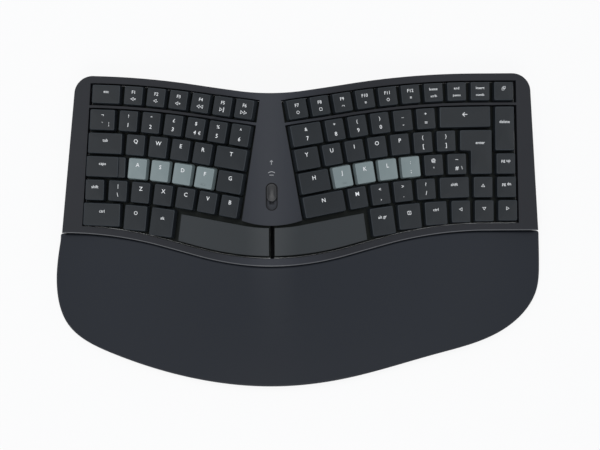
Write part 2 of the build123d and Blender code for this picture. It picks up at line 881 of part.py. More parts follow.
# Palm rest: a rigid base, a foam cushion and a moulded cover
with BuildPart() as palm_base:
    add(palm_core(palm_outline(palm_skin + part_gap), 0))
    hollow = palm_outline(palm_skin + palm_shell)
    add(palm_core(hollow, -palm_shell), mode=Mode.SUBTRACT)
    for u, line in palm_screw_places:
        post_height = screw_reach + palm_shell
        extrude(hexagons([(u, line)], boss_radius, floor_z + fit_gap), amount=post_height)
    extrude(hexagons(palm_screw_places, screw_bore, floor_z), amount=screw_reach, mode=Mode.SUBTRACT)
save(palm_base.part, "palm_base")

with BuildPart() as palm_foam:
    outline = palm_outline(palm_skin + part_gap)
    foam_edge = palm_edge_height - palm_skin - palm_fit
    add(palm_block(outline, palm_skin + palm_fit, foam_edge, palm_base_edge + palm_fit))
    add(palm_core(palm_outline(), palm_fit), mode=Mode.SUBTRACT)
save(palm_foam.part, "palm_foam")

with BuildPart() as palm_cover:
    add(palm_block(palm_outline(), 0, palm_edge_height, floor_z + fit_gap))
    add(palm_block(palm_outline(palm_skin), palm_skin, palm_edge_height - palm_skin, 0), mode=Mode.SUBTRACT)
save(palm_cover.part, "palm_cover")


def box(u, line, bottom, across, along, height):
    """A block over a place, standing on a height."""
    with BuildPart(Plane.XY.offset(bottom)) as block:
        with Locations(plan_point(u, line)):
            Box(across, along, height, align=(Align.CENTER, Align.CENTER, Align.MIN))
    return block.part


# Floor of the case and palm rest, with pockets for the legs and posts for the controller
all_screw_places = boss_places() + palm_screw_places
controller_line = rear_edge.at(0) - case_wall - part_gap - controller_depth / 2
leg_axis_z = foot_height + leg_thickness / 2
leg_clear = leg_thickness / 2 + leg_rear_gap
pocket_length = leg_length + leg_clear + leg_gap
pocket_line = leg_line + leg_clear - pocket_length / 2
pocket_width = leg_width + 2 * leg_gap
with BuildPart() as bottom_case:
    edge = Location((0, 0, foot_height))
    extrude(case_outline(edge_setback, -seam_overlap).moved(edge), amount=floor_thickness)
    extrude(palm_outline(edge_setback).moved(edge), amount=floor_thickness)
    for side in (-1, 1):
        width, length = pocket_width + 2 * leg_pocket_wall, pocket_length + 2 * leg_pocket_wall
        depth = leg_thickness + leg_gap
        add(box(side * leg_u, pocket_line, foot_height, width, length, depth + leg_pocket_roof))
        add(box(side * leg_u, pocket_line, 0, pocket_width, pocket_length, foot_height + depth), mode=Mode.SUBTRACT)
        pin_start = Plane((plan_point(side * leg_u, 0)[0], plan_point(0, leg_line)[1], leg_axis_z), z_dir=(1, 0, 0))
        with BuildSketch(pin_start):
            Circle(leg_pin_radius + pin_gap)
        extrude(amount=leg_width / 2 + leg_pin_length + leg_gap, both=True, mode=Mode.SUBTRACT)
    for across in (-1, 1):
        for along in (-1, 1):
            u = across * (controller_length - post_size) / 2
            line = controller_line + along * (controller_depth - post_size) / 2
            add(box(u, line, floor_z - fit_gap, post_size, post_size, controller_lift))
    extrude(hexagons(all_screw_places, screw_bore + fit_gap), amount=tall, mode=Mode.SUBTRACT)
    sink = foot_height + screw_head_height + fit_gap
    extrude(hexagons(all_screw_places, screw_head_radius + fit_gap), amount=sink, mode=Mode.SUBTRACT)
save(bottom_case.part, "bottom_case")

# Screws that hold the floor to the shell and the palm rest
with BuildPart() as case_screws:
    extrude(hexagons(all_screw_places, screw_head_radius, foot_height), amount=screw_head_height)
    extrude(hexagons(all_screw_places, screw_radius, foot_height), amount=floor_thickness + screw_reach - part_gap)
save(case_screws.part, "case_screws")

# Screws that hold the plates up against the shell
with BuildPart() as plate_screws:
    for u, line in plate_screw_places:
        underside = key_surface.sunk(plate_depth + plate_thickness).at(u)
        head = underside - plate_screw_head_height - 2 * seat_gap
        extrude(hexagons([(u, line)], plate_screw_head, head), amount=plate_screw_head_height)
        shaft = hexagons([(u, line)], plate_screw_radius, head)
        extrude(shaft, amount=plate_screw_head_height + plate_thickness + plate_screw_reach - part_gap)
save(plate_screws.part, "plate_screws")

# Feet
with BuildPart() as rubber_feet:
    for place in foot_places:
        with BuildSketch():
            with Locations(plan_point(*place)):
                RegularPolygon(foot_radius, side_count=16)
        extrude(amount=foot_height - fit_gap)
save(rubber_feet.part, "rubber_feet")

# Fold-out legs with rubber pads at their tips
for side, half in ((-1, "left"), (1, "right")):
    leg_x, leg_y = plan_point(side * leg_u, leg_line)
    side_plane = Plane((leg_x - leg_width / 2, leg_y, leg_axis_z), (0, 1, 0), (1, 0, 0))
    body_length = leg_length - leg_pad_length
    with BuildPart() as tilt_leg:
        with BuildSketch(side_plane):
            Circle(leg_thickness / 2)
            Rectangle(body_length, leg_thickness, align=(Align.MAX, Align.CENTER))
        extrude(amount=leg_width)
        with BuildSketch(side_plane.offset(-leg_pin_length)):
            Circle(leg_pin_radius)
        extrude(amount=leg_width + 2 * leg_pin_length)
    save(tilt_leg.part, f"tilt_leg_{half}")

    with BuildPart() as leg_pad:
        pad_line = leg_line - leg_length + leg_pad_length / 2 - fit_gap
        pad_foot = leg_axis_z - leg_thickness / 2
        add(box(side * leg_u, pad_line, pad_foot, leg_width, leg_pad_length, leg_thickness))
        chamfer(leg_pad.edges().filter_by(Axis.X).sort_by(Axis.Y)[:2], leg_pad_bevel)
    save(leg_pad.part, f"leg_pad_{half}")

# Mode switch on the spine: a sliding knob in an open body
knob_top = crown_height - key_proud + knob_proud
body_top = crown_height - switch_body_depth
knob_line = slot_line + (slot_length - knob_length) / 2 - knob_gap
knob_foot = body_top + knob_gap
with BuildPart() as mode_switch_knob:
    knob = round_slot(knob_line, knob_length, slot_width - 2 * knob_gap, knob_foot)
    extrude(knob, amount=knob_top - knob_foot)
    stem_foot = body_top - switch_stem_drop
    add(box(0, knob_line, stem_foot, switch_stem_width, switch_stem_length, knob_foot - stem_foot + knob_gap))
save(mode_switch_knob.part, "mode_switch_knob")

with BuildPart() as mode_switch_body:
    body_foot = body_top - switch_body_height
    add(box(0, slot_line, body_foot, switch_body_width, switch_body_length, switch_body_height))
    room_width = switch_stem_width + 2 * knob_gap
    room_length = slot_length - knob_length + switch_stem_length
    room_foot = body_top - switch_stem_drop - knob_gap
    add(box(0, slot_line, room_foot, room_width, room_length, switch_body_height), mode=Mode.SUBTRACT)
save(mode_switch_body.part, "mode_switch_body")

# Controller, its socket and the battery
with BuildPart() as controller_board:
    add(box(0, controller_line, floor_z + controller_lift, controller_length, controller_depth, controller_thickness))
save(controller_board.part, "controller_board")

with BuildPart() as usb_socket:
    extrude(socket_profile(0), amount=socket_length - socket_reach)
    extrude(socket_profile(0), amount=-socket_reach)
    extrude(socket_profile(-socket_wall), amount=socket_length - socket_reach - socket_back, mode=Mode.SUBTRACT)
    extrude(socket_profile(-socket_wall), amount=-socket_reach, mode=Mode.SUBTRACT)
save(usb_socket.part, "usb_socket")

with BuildPart() as battery_pack:
    add(box(battery_u, battery_line, floor_z + fit_gap, battery_width, battery_length, battery_height))
    chamfer(battery_pack.edges().filter_by(Axis.Y), battery_bevel)
save(battery_pack.part, "battery_pack")
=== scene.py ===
from math import radians

import bmesh
import bpy
import numpy as np
from bpy.props import FloatProperty, FloatVectorProperty, PointerProperty
from mathutils import Matrix, Vector


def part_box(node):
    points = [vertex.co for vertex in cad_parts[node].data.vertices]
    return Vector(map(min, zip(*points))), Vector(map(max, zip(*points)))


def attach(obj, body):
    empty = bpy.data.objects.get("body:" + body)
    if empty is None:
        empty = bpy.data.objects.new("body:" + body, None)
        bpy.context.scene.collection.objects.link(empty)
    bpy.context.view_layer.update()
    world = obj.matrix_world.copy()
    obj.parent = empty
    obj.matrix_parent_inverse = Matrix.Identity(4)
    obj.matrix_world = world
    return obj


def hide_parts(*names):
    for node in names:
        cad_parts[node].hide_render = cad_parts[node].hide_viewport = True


bl_info = {
    "name": "Tented keyboard",
    "version": (1, 0, 0),
    "blender": (4, 5, 0),
    "location": "View3D > Sidebar > Keyboard",
    "description": "Key caps, legends, finishes, palm cushion and studio for a wave-shaped keyboard",
    "category": "Add Mesh",
}

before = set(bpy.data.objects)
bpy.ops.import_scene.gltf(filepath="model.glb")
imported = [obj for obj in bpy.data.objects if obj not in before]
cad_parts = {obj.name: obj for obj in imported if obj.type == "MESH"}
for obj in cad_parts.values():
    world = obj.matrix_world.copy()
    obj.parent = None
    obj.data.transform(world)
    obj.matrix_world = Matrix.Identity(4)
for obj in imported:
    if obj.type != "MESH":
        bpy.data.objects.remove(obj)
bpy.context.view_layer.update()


CHASSIS = "chassis"
MM = 0.001

# The spine and the line that the rows are measured from, in the frame
SPINE_X = -0.0197
DATUM_Y = 0.00565
DATUM = np.array([SPINE_X, DATUM_Y, 0])
LEFT_REACH = SPINE_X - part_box("palm_cover")[0][0]
RIGHT_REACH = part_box("palm_cover")[1][0] - SPINE_X
FRONT_REACH = DATUM_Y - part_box("palm_cover")[0][1]

# The wave of the bezel and the seam in front of the keys: level, turn, crown, bend and flat
BEZEL_WAVE = (47 * MM, -20, 21.145 * MM, 21.145 * MM, 165 * MM)
SEAM_WAVE = (-32.2 * MM, 14.8, 60 * MM, 90 * MM, 175 * MM)

# How far from its middle the spine's painted light is full, and how far from it the painted light ends
SPINE_LIGHT_HALF = 12 * MM
SPINE_LIGHT_END = 60 * MM

# Places of the palm rest's edge, as shares of the reach to that side and of the front reach
PALM_LEFT_SHARES = [(0.976, 0.080), (1.0, 0.34), (0.955, 0.60), (0.741, 0.792), (0.389, 0.943)]
PALM_RIGHT_SHARES = [
    (0.283, 0.949), (0.607, 0.806), (0.902, 0.612), (0.991, 0.41), (1.0, 0.25), (0.998, 0.080)]

# The nodes whose caps are pale
HOME_NODES = ["home_keys_left", "home_keys_right"]

# Legends from the spine outwards. One character is a letter, two or three are a shifted pair,
# and more are a word.
LEGENDS = {
    "escape_key": ["esc"],
    "function_keys_left": ["F6", "F5", "F4", "F3", "F2", "F1"],
    "number_keys_left": ["^6", "%5", "$4€", "£3", "\"2", "!1", "¬`¦"],
    "tab_key": ["tab"],
    "upper_keys_left": ["T", "R", "E", "W", "Q"],
    "caps_key": ["caps"],
    "key_g": ["G"],
    "home_keys_left": ["F", "D", "S", "A"],
    "shift_key_left": ["shift"],
    "lower_keys_left": ["B", "V", "C", "X", "Z", "|\\"],
    "control_key_left": ["ctrl"],
    "symbol_key": ["○"],
    "alt_key": ["alt "],
    "function_keys_right": ["F7", "F8", "F9", "F10", "F11", "F12"],
    "navigation_keys": ["home\nscrlk", "end\npause", "insert\nnumlk", "▢"],
    "number_keys_right": ["&7", "*8", "(9", ")0", "_-", "+="],
    "backspace_key": ["←"],
    "delete_key": ["delete"],
    "upper_keys_right": ["Y", "U", "I", "O", "P", "{[", "}]"],
    "enter_key": ["enter"],
    "key_h": ["H"],
    "home_keys_right": ["J", "K", "L", ":;"],
    "quote_keys": ["@'", "~#\\"],
    "page_up_key": ["pg up"],
    "lower_keys_right": ["N", "M", "<,", ">.", "?/"],
    "shift_key_right": ["shift"],
    "up_key": ["△"],
    "page_down_key": ["pg dn"],
    "alt_gr_key": ["alt gr"],
    "menu_key": ["≡"],
    "control_key_right": ["ctrl"],
    "left_key": ["◁"],
    "down_key": ["▽"],
    "right_key": ["▷"],
}
FUNCTION_SIGNS = {
    "F1": "◁×", "F2": "◁-", "F3": "◁+", "F4": "◁◁", "F5": "▷‖", "F6": "▷▷",
    "F7": "○", "F8": "▢", "F9": "↷", "F10": "≡", "F11": "○", "F12": "≡",
}

# The marks of the signs: text, place across and along as shares of the cap, height as a share of a letter's
SIGN_MARKS = {
    "≡": [("▢", 0, 0.14, 0.90), ("≡", 0, 0.14, 0.45)],
    "▢": [("▢", -0.025, 0.12, 0.62), ("▢", 0.035, 0.20, 0.62)],
    "△": [("△", 0, 0.08, 0.72)],
    "▽": [("▽", 0, 0.10, 0.72)],
    "◁": [("◁", 0, 0.10, 0.72)],
    "▷": [("▷", 0, 0.10, 0.72)],
    "←": [("←", 0, 0.14, 1.25)],
    "○": [("○", 0, 0.20, 0.85)],
    "enter": [("enter", 0.14, 0.22, 0.76)],
}


def tint(name, description, *colour):
    """A colour for the panel."""
    return FloatVectorProperty(name=name, description=description, subtype="COLOR", default=colour)


def angle(name, description, degrees):
    """An angle for the panel, given in degrees."""
    return FloatProperty(
        name=name, description=description, subtype="ANGLE", unit="ROTATION", default=radians(degrees))


def wattage(name, description, watts):
    """A lamp's power for the panel."""
    return FloatProperty(name=name, description=description, unit="POWER", default=watts)


def length(name, description, size):
    """A length for the panel, given in millimetres."""
    return FloatProperty(
        name=name, description=description, subtype="DISTANCE", unit="LENGTH", default=size * MM)


class KeyboardColours(bpy.types.PropertyGroup):
    """The colours of the finishes."""

    case: tint("Case", "Moulded case and bezel", 0.0135, 0.015, 0.0195)
    # Painted light: the spine's colour is the case's plastic painted lighter and bluer where the ridge
    # faces up
    spine: tint("Spine", "Ridge between the two halves", 0.0265, 0.0298, 0.0385)
    keys: tint("Keys", "Key caps", 0.0135, 0.0168, 0.0205)
    space_bars: tint("Space bars", "The two space bars", 0.02, 0.0245, 0.0285)
    knob: tint("Knob", "Knob of the mode switch", 0.0065, 0.0075, 0.01)
    # Painted highlight: the lip's edge is painted far lighter than the case, for the bright line of light
    # along it
    lip: tint("Lip", "Edge of the lip in front of the keys", 0.08, 0.085, 0.095)
    mark: tint("Spine marks", "Marks behind the mode switch", 0.32, 0.33, 0.35)
    home: tint("Home keys", "Caps of the home row", 0.19, 0.24, 0.25)
    palm: tint("Palm rest", "Soft-touch palm cushion", 0.0112, 0.0142, 0.0205)
    legend: tint("Legends", "Printed legends", 0.93, 0.95, 0.97)


class KeyboardSizes(bpy.types.PropertyGroup):
    """Sizes of the pieces made here."""

    key_edge: length("Bar edge", "Rounding of the space bars' edges", 0.35)
    case_edge: length("Case edge", "Rounding of the case's edges", 0.5)
    cap_height: length("Cap height", "Height of a cap's walls", 4.6)
    cap_edge: length("Cap edge", "Height of a cap's round edge", 0.5)
    cap_corner: length("Cap corner", "Radius of a cap's corners at its top", 0.7)
    cap_dish: length("Cap dish", "Depth of the hollow in a cap's top", 0.3)
    cap_wall: length("Cap wall", "Thickness of a cap's walls", 1.1)
    cap_lean: angle("Cap lean", "Slope of a cap's walls", 12.5)
    stem_half: length("Stem", "Half the width of a plunger", 2.2)
    stem_depth: length("Stem depth", "How far a plunger reaches under the top", 6.6)
    ledge_drop: length("Ledge drop", "How far the ledge of the capitals key lies lower", 1.0)
    ledge_width: length("Ledge width", "Width of that ledge", 5.6)
    knob_gap: length("Knob gap", "Gap between the knob and its slot", 0.4)
    slot_length: length("Slot length", "Length of the mode switch's slot", 20.8)
    # The dark strip round the slot is painted shadow for the gap there
    rim_line: length("Slot rim", "Width of the dark strip round the slot", 0.7)
    knob_dish: length("Knob hollow", "Depth of the hollow in the knob", 1.1)
    bead: length("Lip edge", "Radius of the lip's front edge", 0.55)
    arrow_height: length("Arrow", "Height of the arrow mark", 3.6)
    arrow_line: length("Arrow line", "How far behind the datum the arrow's middle lies", 48.5)
    arc_line: length("Arc line", "How far behind the datum the arc mark's foot lies", 38.4)
    letter_height: length("Letter height", "Height of a capital", 3.1)
    legend_proud: length("Legend proud", "How far the print stands off a cap", 0.04)
    palm_edge: length("Palm edge", "Height of the palm rest's rim", 10)
    palm_step: length("Palm step", "Drop from the bezel to the palm rest", 1)
    palm_rim: length("Palm rim", "Radius of the palm rest's rim", 2.5)
    palm_skin: length("Palm skin", "Thickness of the cushion's skin", 1.5)


class KeyboardStudio(bpy.types.PropertyGroup):
    """The camera, the lamps and the floor."""

    lens: FloatProperty(
        name="Lens", description="Focal length on a 36 mm sensor", subtype="DISTANCE_CAMERA", default=43.5)
    camera_height: length("Camera height", "Height over the desk", 608.5)
    camera_x: length("Camera across", "Place across the desk", 2.12)
    camera_y: length("Camera along", "Place along the desk", 5.52)
    camera_turn: angle("Camera turn", "Turn of the picture", -0.344)
    front_lamp: wattage("Front lamp", "Power of the lamp in front", 2.8)
    top_lamp: wattage("Top lamp", "Power of the lamp above", 11.5)
    room_light: FloatProperty(
        name="Room light", description="Strength of the room's own light", default=0.35)


def feed(tree, slots, values):
    """Links each socket to another one, or sets it to a fixed value."""
    for slot, value in zip(slots, values):
        if isinstance(value, bpy.types.NodeSocket):
            tree.links.new(value, slot)
        else:
            slot.default_value = value


def fill(tree, node, **values):
    """Feeds a node's sockets, which go by their names."""
    feed(tree, [node.inputs[name.replace("_", " ")] for name in values], values.values())
    return node


def make(tree, kind, **values):
    """A new node of a kind, with its sockets fed."""
    return fill(tree, tree.nodes.new("ShaderNode" + kind), **values)


def sum_of(tree, operation, *values):
    """One step of arithmetic between sockets or numbers."""
    node = make(tree, "Math")
    node.operation = operation
    feed(tree, node.inputs, values)
    return node.outputs[0]


def mixed(tree, share, first, second):
    """Two nodes' shaders, mixed by the share of the second."""
    node = make(tree, "MixShader")
    feed(tree, node.inputs, (share, first.outputs[0], second.outputs[0]))
    return node


def seen(tree):
    """1 for the rays of the camera, mirrors and glass, 0 for the rest."""
    path = make(tree, "LightPath").outputs
    mirrored = sum_of(tree, "MAXIMUM", path["Is Glossy Ray"], path["Is Transmission Ray"])
    return sum_of(tree, "MAXIMUM", path["Is Camera Ray"], mirrored)


# The height of the grain's bump at full strength, the patches' change of roughness, and the numbers that
# a finish takes besides its colour
BUMP = 0.05 * MM
SHINE_CHANGE = 0.1
FINISH_NUMBERS = (
    "Shade change", "Roughness", "Roughness change", "Grain scale", "Grain strength", "Patch scale",
    "Edge", "Edge wear")


def moulded_finish():
    """The look of moulded plastic: a fine grain, slow changes of shade and shine, and painted edge
    highlights.

    Shade = colour times (1 + shade change times (slow noise - 0.5) times 2 + edge times edge highlight).
    The edge term is a painted highlight.
    Roughness = roughness + roughness change times (slow noise - 0.5). The grain is a bump of fine noise.
    """
    group = bpy.data.node_groups.new("moulded_finish", "ShaderNodeTree")
    face = group.interface
    face.new_socket(name="Colour", in_out="INPUT", socket_type="NodeSocketColor")
    for name in FINISH_NUMBERS:
        face.new_socket(name=name, in_out="INPUT", socket_type="NodeSocketFloat")
    for name, kind in (("Colour", "Color"), ("Roughness", "Float"), ("Normal", "Vector")):
        face.new_socket(name=name, in_out="OUTPUT", socket_type="NodeSocket" + kind)
    source = group.nodes.new("NodeGroupInput").outputs
    place = make(group, "TexCoord").outputs["Object"]
    slow = make(group, "TexNoise", Vector=place, Scale=source["Patch scale"], Detail=3)
    fine = make(group, "TexNoise", Vector=place, Scale=source["Grain scale"], Detail=2)
    middle = sum_of(group, "SUBTRACT", slow.outputs["Fac"], 0.5)
    change = sum_of(group, "MULTIPLY", middle, source["Shade change"])
    level = sum_of(group, "MULTIPLY_ADD", change, 2, 1)
    # Painted highlight: the marked edges are made lighter by the edge highlight
    level = sum_of(group, "MULTIPLY_ADD", source["Edge"], source["Edge wear"], level)
    shade = make(group, "HueSaturation", Value=level, Color=source["Colour"])
    rough = sum_of(group, "MULTIPLY_ADD", middle, source["Roughness change"], source["Roughness"])
    bump = make(group, "Bump", Distance=BUMP, Strength=source["Grain strength"], Height=fine.outputs["Fac"])
    fill(group, group.nodes.new("NodeGroupOutput"), Colour=shade.outputs["Color"], Roughness=rough,
         Normal=bump.outputs["Normal"])
    return group


def finish(name, colour, roughness, grain=0.2, change=0.08, scale=1800, patches=30, highlight=0, **sockets):
    """A material of the moulded finish, with any other sockets of its shader set to fixed values."""
    made = bpy.data.materials.get(name)
    if made:
        return made
    material = bpy.data.materials.new(name)
    material.use_nodes = True
    tree = material.node_tree
    look = make(tree, "Group")
    look.node_tree = bpy.data.node_groups.get("moulded_finish") or moulded_finish()
    fill(tree, look, Colour=(*colour, 1), Shade_change=change, Roughness=roughness,
         Roughness_change=SHINE_CHANGE, Grain_scale=scale, Grain_strength=grain, Patch_scale=patches)
    # Painted highlight: the mesh's edge attribute lightens the colour on the marked edges
    if highlight:
        edge = make(tree, "Attribute")
        edge.attribute_name = "edge"
        fill(tree, look, Edge=edge.outputs["Fac"], Edge_wear=highlight)
    fill(tree, tree.nodes["Principled BSDF"], Base_Color=look.outputs["Colour"],
         Roughness=look.outputs["Roughness"], Normal=look.outputs["Normal"], **sockets)
    return material


def case_finish_and_spine_light(colours):
    """The case's plastic, with painted light: the spine ridge, which faces up, is painted bluer and
    lighter.

    The spine's share of the painted light is 1 within its half width and falls smoothly to 0 at its blend's
    end.
    """
    made = bpy.data.materials.get("case_plastic_and_spine_light")
    if made:
        return made
    material = finish("case_plastic_and_spine_light", colours.case, 0.55, grain=0.3, change=0.06, Specular_IOR_Level=0.21)
    tree = material.node_tree
    look = next(node for node in tree.nodes if node.type == "GROUP")
    parts = make(tree, "SeparateXYZ", Vector=make(tree, "TexCoord").outputs["Object"])
    across = sum_of(tree, "ABSOLUTE", sum_of(tree, "SUBTRACT", parts.outputs["X"], SPINE_X))
    share = make(tree, "MapRange", Value=across, From_Min=SPINE_LIGHT_END, From_Max=SPINE_LIGHT_HALF)
    share.interpolation_type = "SMOOTHSTEP"
    # Painted light: the case's colour is mixed towards the lighter spine colour near the ridge
    blend = make(tree, "Mix", Factor=share.outputs["Result"])
    blend.data_type = "RGBA"
    # The sockets for colours have the same names as those for numbers, so they go by number
    feed(tree, blend.inputs[6:8], ((*colours.case, 1), (*colours.spine, 1)))
    fill(tree, look, Colour=blend.outputs[2])
    return material


def knob_finish(colours):
    """The smooth plastic of the mode switch's knob."""
    return finish("knob_plastic", colours.knob, 0.38, grain=0.15, Specular_IOR_Level=0.4)


def paint(mesh, material):
    """Gives a mesh one material."""
    mesh.materials.clear()
    mesh.materials.append(material)


# Loose corners nearer than the gap are welded, and edges sharper than the angle get a bevel
WELD_GAP = 0.002 * MM
SHARP_ANGLE = radians(28)


def soften(node, width, segments=3):
    """Rounds a CAD node's edges: its loose triangles are welded and every sharp edge gets a bevel."""
    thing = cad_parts[node]
    weld = thing.modifiers.new("weld", "WELD")
    weld.merge_threshold = WELD_GAP
    bevel = thing.modifiers.new("edges", "BEVEL")
    bevel.width = width
    bevel.segments = segments
    bevel.limit_method = "ANGLE"
    bevel.angle_limit = SHARP_ANGLE
    bevel.use_clamp_overlap = True
    normals = thing.modifiers.new("normals", "WEIGHTED_NORMAL")
    normals.keep_sharp = True


def unit(runs):
    """Directions, made 1 long."""
    return runs / np.linalg.norm(runs, axis=-1, keepdims=True)


def crossed(first, second):
    """The cross products of directions in a plane."""
    return first[..., 0] * second[..., 1] - first[..., 1] * second[..., 0]


def wave(across, level, turn, crown, bend, flat):
    """A line that is round across the spine, straight down each half and flat outside.

    Its slope is asin(u / crown * sin(turn)) up to the crown, turn up to the bend, and
    asin((flat - u) / (flat - bend) * sin(turn)) up to flat. An arc of chord c and end slope a
    climbs c tan(a / 2).
    """
    u = np.abs(across)
    turn = radians(turn)
    inner = np.minimum(u, crown)
    rise = inner * np.tan(np.arcsin(inner / crown * np.sin(turn)) / 2)
    rise = rise + (np.clip(u, crown, bend) - crown) * np.tan(turn)
    left = (flat - np.clip(u, bend, flat)) / (flat - bend)
    rest = left * (flat - bend) * np.tan(np.arcsin(left * np.sin(turn)) / 2)
    outer = (flat - bend) * np.tan(turn / 2) - rest
    return level + rise + np.where(u > bend, outer, 0)


def smooth_line(points, count):
    """A curve through points: each coordinate is a cubic spline over the length along the chords.

    The curvature is nought at both ends. The second derivatives come from the usual three-term equations.
    """
    points = np.array(points, float)
    steps = np.linalg.norm(np.diff(points, axis=0), axis=1)
    along = np.concatenate([[0], np.cumsum(steps)])
    size = len(points)
    table = np.eye(size)
    right = np.zeros_like(points)
    inner = np.arange(1, size - 1)
    table[inner, inner - 1] = steps[:-1]
    table[inner, inner] = 2 * (steps[:-1] + steps[1:])
    table[inner, inner + 1] = steps[1:]
    slopes = np.diff(points, axis=0) / steps[:, None]
    right[inner] = 6 * np.diff(slopes, axis=0)
    bends = np.linalg.solve(table, right)
    t = np.linspace(0, along[-1], count)
    span = np.clip(np.searchsorted(along, t, side="right") - 1, 0, size - 2)
    h = steps[span][:, None]
    b = (t - along[span])[:, None] / h
    a = 1 - b
    straight = a * points[span] + b * points[span + 1]
    return straight + ((a**3 - a) * bends[span] + (b**3 - b) * bends[span + 1]) * h**2 / 6


def evenly(loop, count):
    """A closed line with its points at even steps along it."""
    closed = np.vstack([loop, loop[:1]])
    along = np.concatenate([[0], np.cumsum(np.linalg.norm(np.diff(closed, axis=0), axis=1))])
    t = np.arange(count) * along[-1] / count
    return np.stack([np.interp(t, along, closed[:, axis]) for axis in (0, 1)], axis=1)


# The palm rest's gap to the seam, its middle's share of the front reach, its points round the edge and
# rings from the rim to the middle, and how often its edge and its inward directions are smoothed
PALM_GAP = 0.3 * MM
PALM_MIDDLE = 0.6
PALM_COLUMNS = 760
PALM_RINGS = 26
EDGE_PASSES = 3
INWARD_PASSES = 6


def palm_edge_loop():
    """The palm rest's outline in plan: the seam, and one smooth curve in front of it."""
    left = [(-a * LEFT_REACH, -b * FRONT_REACH) for a, b in PALM_LEFT_SHARES]
    right = [(a * RIGHT_REACH, -b * FRONT_REACH) for a, b in PALM_RIGHT_SHARES]
    front = smooth_line(left + [(0, -FRONT_REACH)] + right, 600)
    across = np.linspace(right[-1][0], left[0][0], 500)
    seam = np.stack([across, wave(across, *SEAM_WAVE) - PALM_GAP], axis=1)
    loop = evenly(np.vstack([front, seam]), PALM_COLUMNS)
    for _ in range(EDGE_PASSES):
        loop = (np.roll(loop, 1, axis=0) + 2 * loop + np.roll(loop, -1, axis=0)) / 4
    return loop


def palm_top(place, sizes):
    """How high the palm rest stands over places in plan.

    It falls from a crest a step under the bezel to the rim, by the square of the share of the way to the
    front and the sixth power of the share of the way to the side.
    """
    reach = np.where(place[..., 0] < 0, LEFT_REACH, RIGHT_REACH)
    ahead = (wave(place[..., 0], *SEAM_WAVE) - place[..., 1]) / (FRONT_REACH + SEAM_WAVE[0])
    crest = wave(place[..., 0], *BEZEL_WAVE) - sizes.palm_step
    share = 1 - ahead**2 - (place[..., 0] / reach) ** 6
    return sizes.palm_edge + (crest - sizes.palm_edge) * share


def loft(rings, start=None, end=None, closed=False):
    """The places and groups of faces of a stack of closed rings, with a pole at either end if one is given.

    A closed stack's last ring joins its first.
    """
    grid = np.stack(rings)
    count, columns = grid.shape[:2]
    index = np.arange(count * columns).reshape(count, columns)
    ahead = np.roll(index, -1, axis=1)
    places = grid.reshape(-1, 3)
    faces = np.stack([index, ahead, np.roll(ahead, -1, axis=0), np.roll(index, -1, axis=0)], axis=-1)
    groups = [faces[:count if closed else count - 1].reshape(-1, 4)]
    for pole, low, high in ((start, ahead[0], index[0]), (end, index[-1], ahead[-1])):
        if pole is not None:
            groups.append(np.stack([low, high, np.full(columns, len(places))], axis=-1))
            places = np.vstack([places, pole])
    return places, groups


def joined(name, parts):
    """One smooth mesh of several lofts."""
    mesh = bpy.data.meshes.new(name)
    faces, count = [], 0
    for places, groups in parts:
        for group in groups:
            faces += (group + count).tolist()
        count += len(places)
    mesh.from_pydata(np.vstack([places for places, _ in parts]).tolist(), [], faces)
    mesh.update()
    mesh.shade_smooth()
    return mesh


def points_of(mesh):
    """A mesh's points, as an array of point and axis."""
    places = np.empty(len(mesh.vertices) * 3)
    mesh.vertices.foreach_get("co", places)
    return places.reshape(-1, 3)


def new_object(name, data):
    """A new object in the scene."""
    made = bpy.data.objects.new(name, data)
    bpy.context.scene.collection.objects.link(made)
    return made


def add_piece(name, mesh, material, body=CHASSIS):
    """A new piece that rides on a body."""
    piece = new_object(name, mesh)
    paint(mesh, material)
    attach(piece, body)
    return piece


def palm_mesh(sizes):
    """The cushion's skin: a wall up from the base, a round rim, and rings that shrink to the middle.

    A ring of the rim at angle f is moved in by radius times (1 - cos f) and lies under the top by
    radius times (1 - sin f). A ring of the top is the rim's last ring shrunk towards the middle.
    """
    loop = palm_edge_loop()
    ahead = np.roll(loop, -1, axis=0) - np.roll(loop, 1, axis=0)
    inward = unit(np.stack([-ahead[:, 1], ahead[:, 0]], axis=1))
    for _ in range(INWARD_PASSES):
        inward = (np.roll(inward, 1, axis=0) + inward + np.roll(inward, -1, axis=0)) / 3
    radius = sizes.palm_rim
    angles = np.radians(np.linspace(0, 90, 7))
    rim = [loop + inward * radius * (1 - np.cos(f)) for f in angles]
    heights = [palm_top(ring, sizes) - radius * (1 - np.sin(f)) for ring, f in zip(rim, angles)]
    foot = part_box("palm_cover")[0][2]
    walls = [foot + (heights[0] - foot) * share for share in (0, 0.25, 0.5, 0.75)]
    middle = np.array([0.0, -PALM_MIDDLE * FRONT_REACH])
    shares = np.linspace(1, 0, PALM_RINGS + 1)[1:-1] ** 0.9
    tops = [middle + (rim[-1] - middle) * share for share in shares]
    plans = [loop] * len(walls) + rim + tops
    levels = walls + heights + [palm_top(ring, sizes) for ring in tops]
    rings = [np.column_stack([plan, level]) + DATUM for plan, level in zip(plans, levels)]
    return joined("palm_cushion", [loft(rings, end=np.array([*middle, palm_top(middle, sizes)]) + DATUM)])


def corners_of(node):
    """A CAD node's triangles, as an array of triangle, corner and axis."""
    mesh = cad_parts[node].data
    mesh.calc_loop_triangles()
    corners = np.empty(len(mesh.loop_triangles) * 3, np.int32)
    mesh.loop_triangles.foreach_get("vertices", corners)
    return points_of(mesh)[corners.reshape(-1, 3)]


def numbered(triangles):
    """The triangles' corners as numbers, the same for corners at one place."""
    _, numbers = np.unique(np.round(triangles.reshape(-1, 3) / (0.01 * MM)), axis=0, return_inverse=True)
    return numbers.reshape(-1, 3)


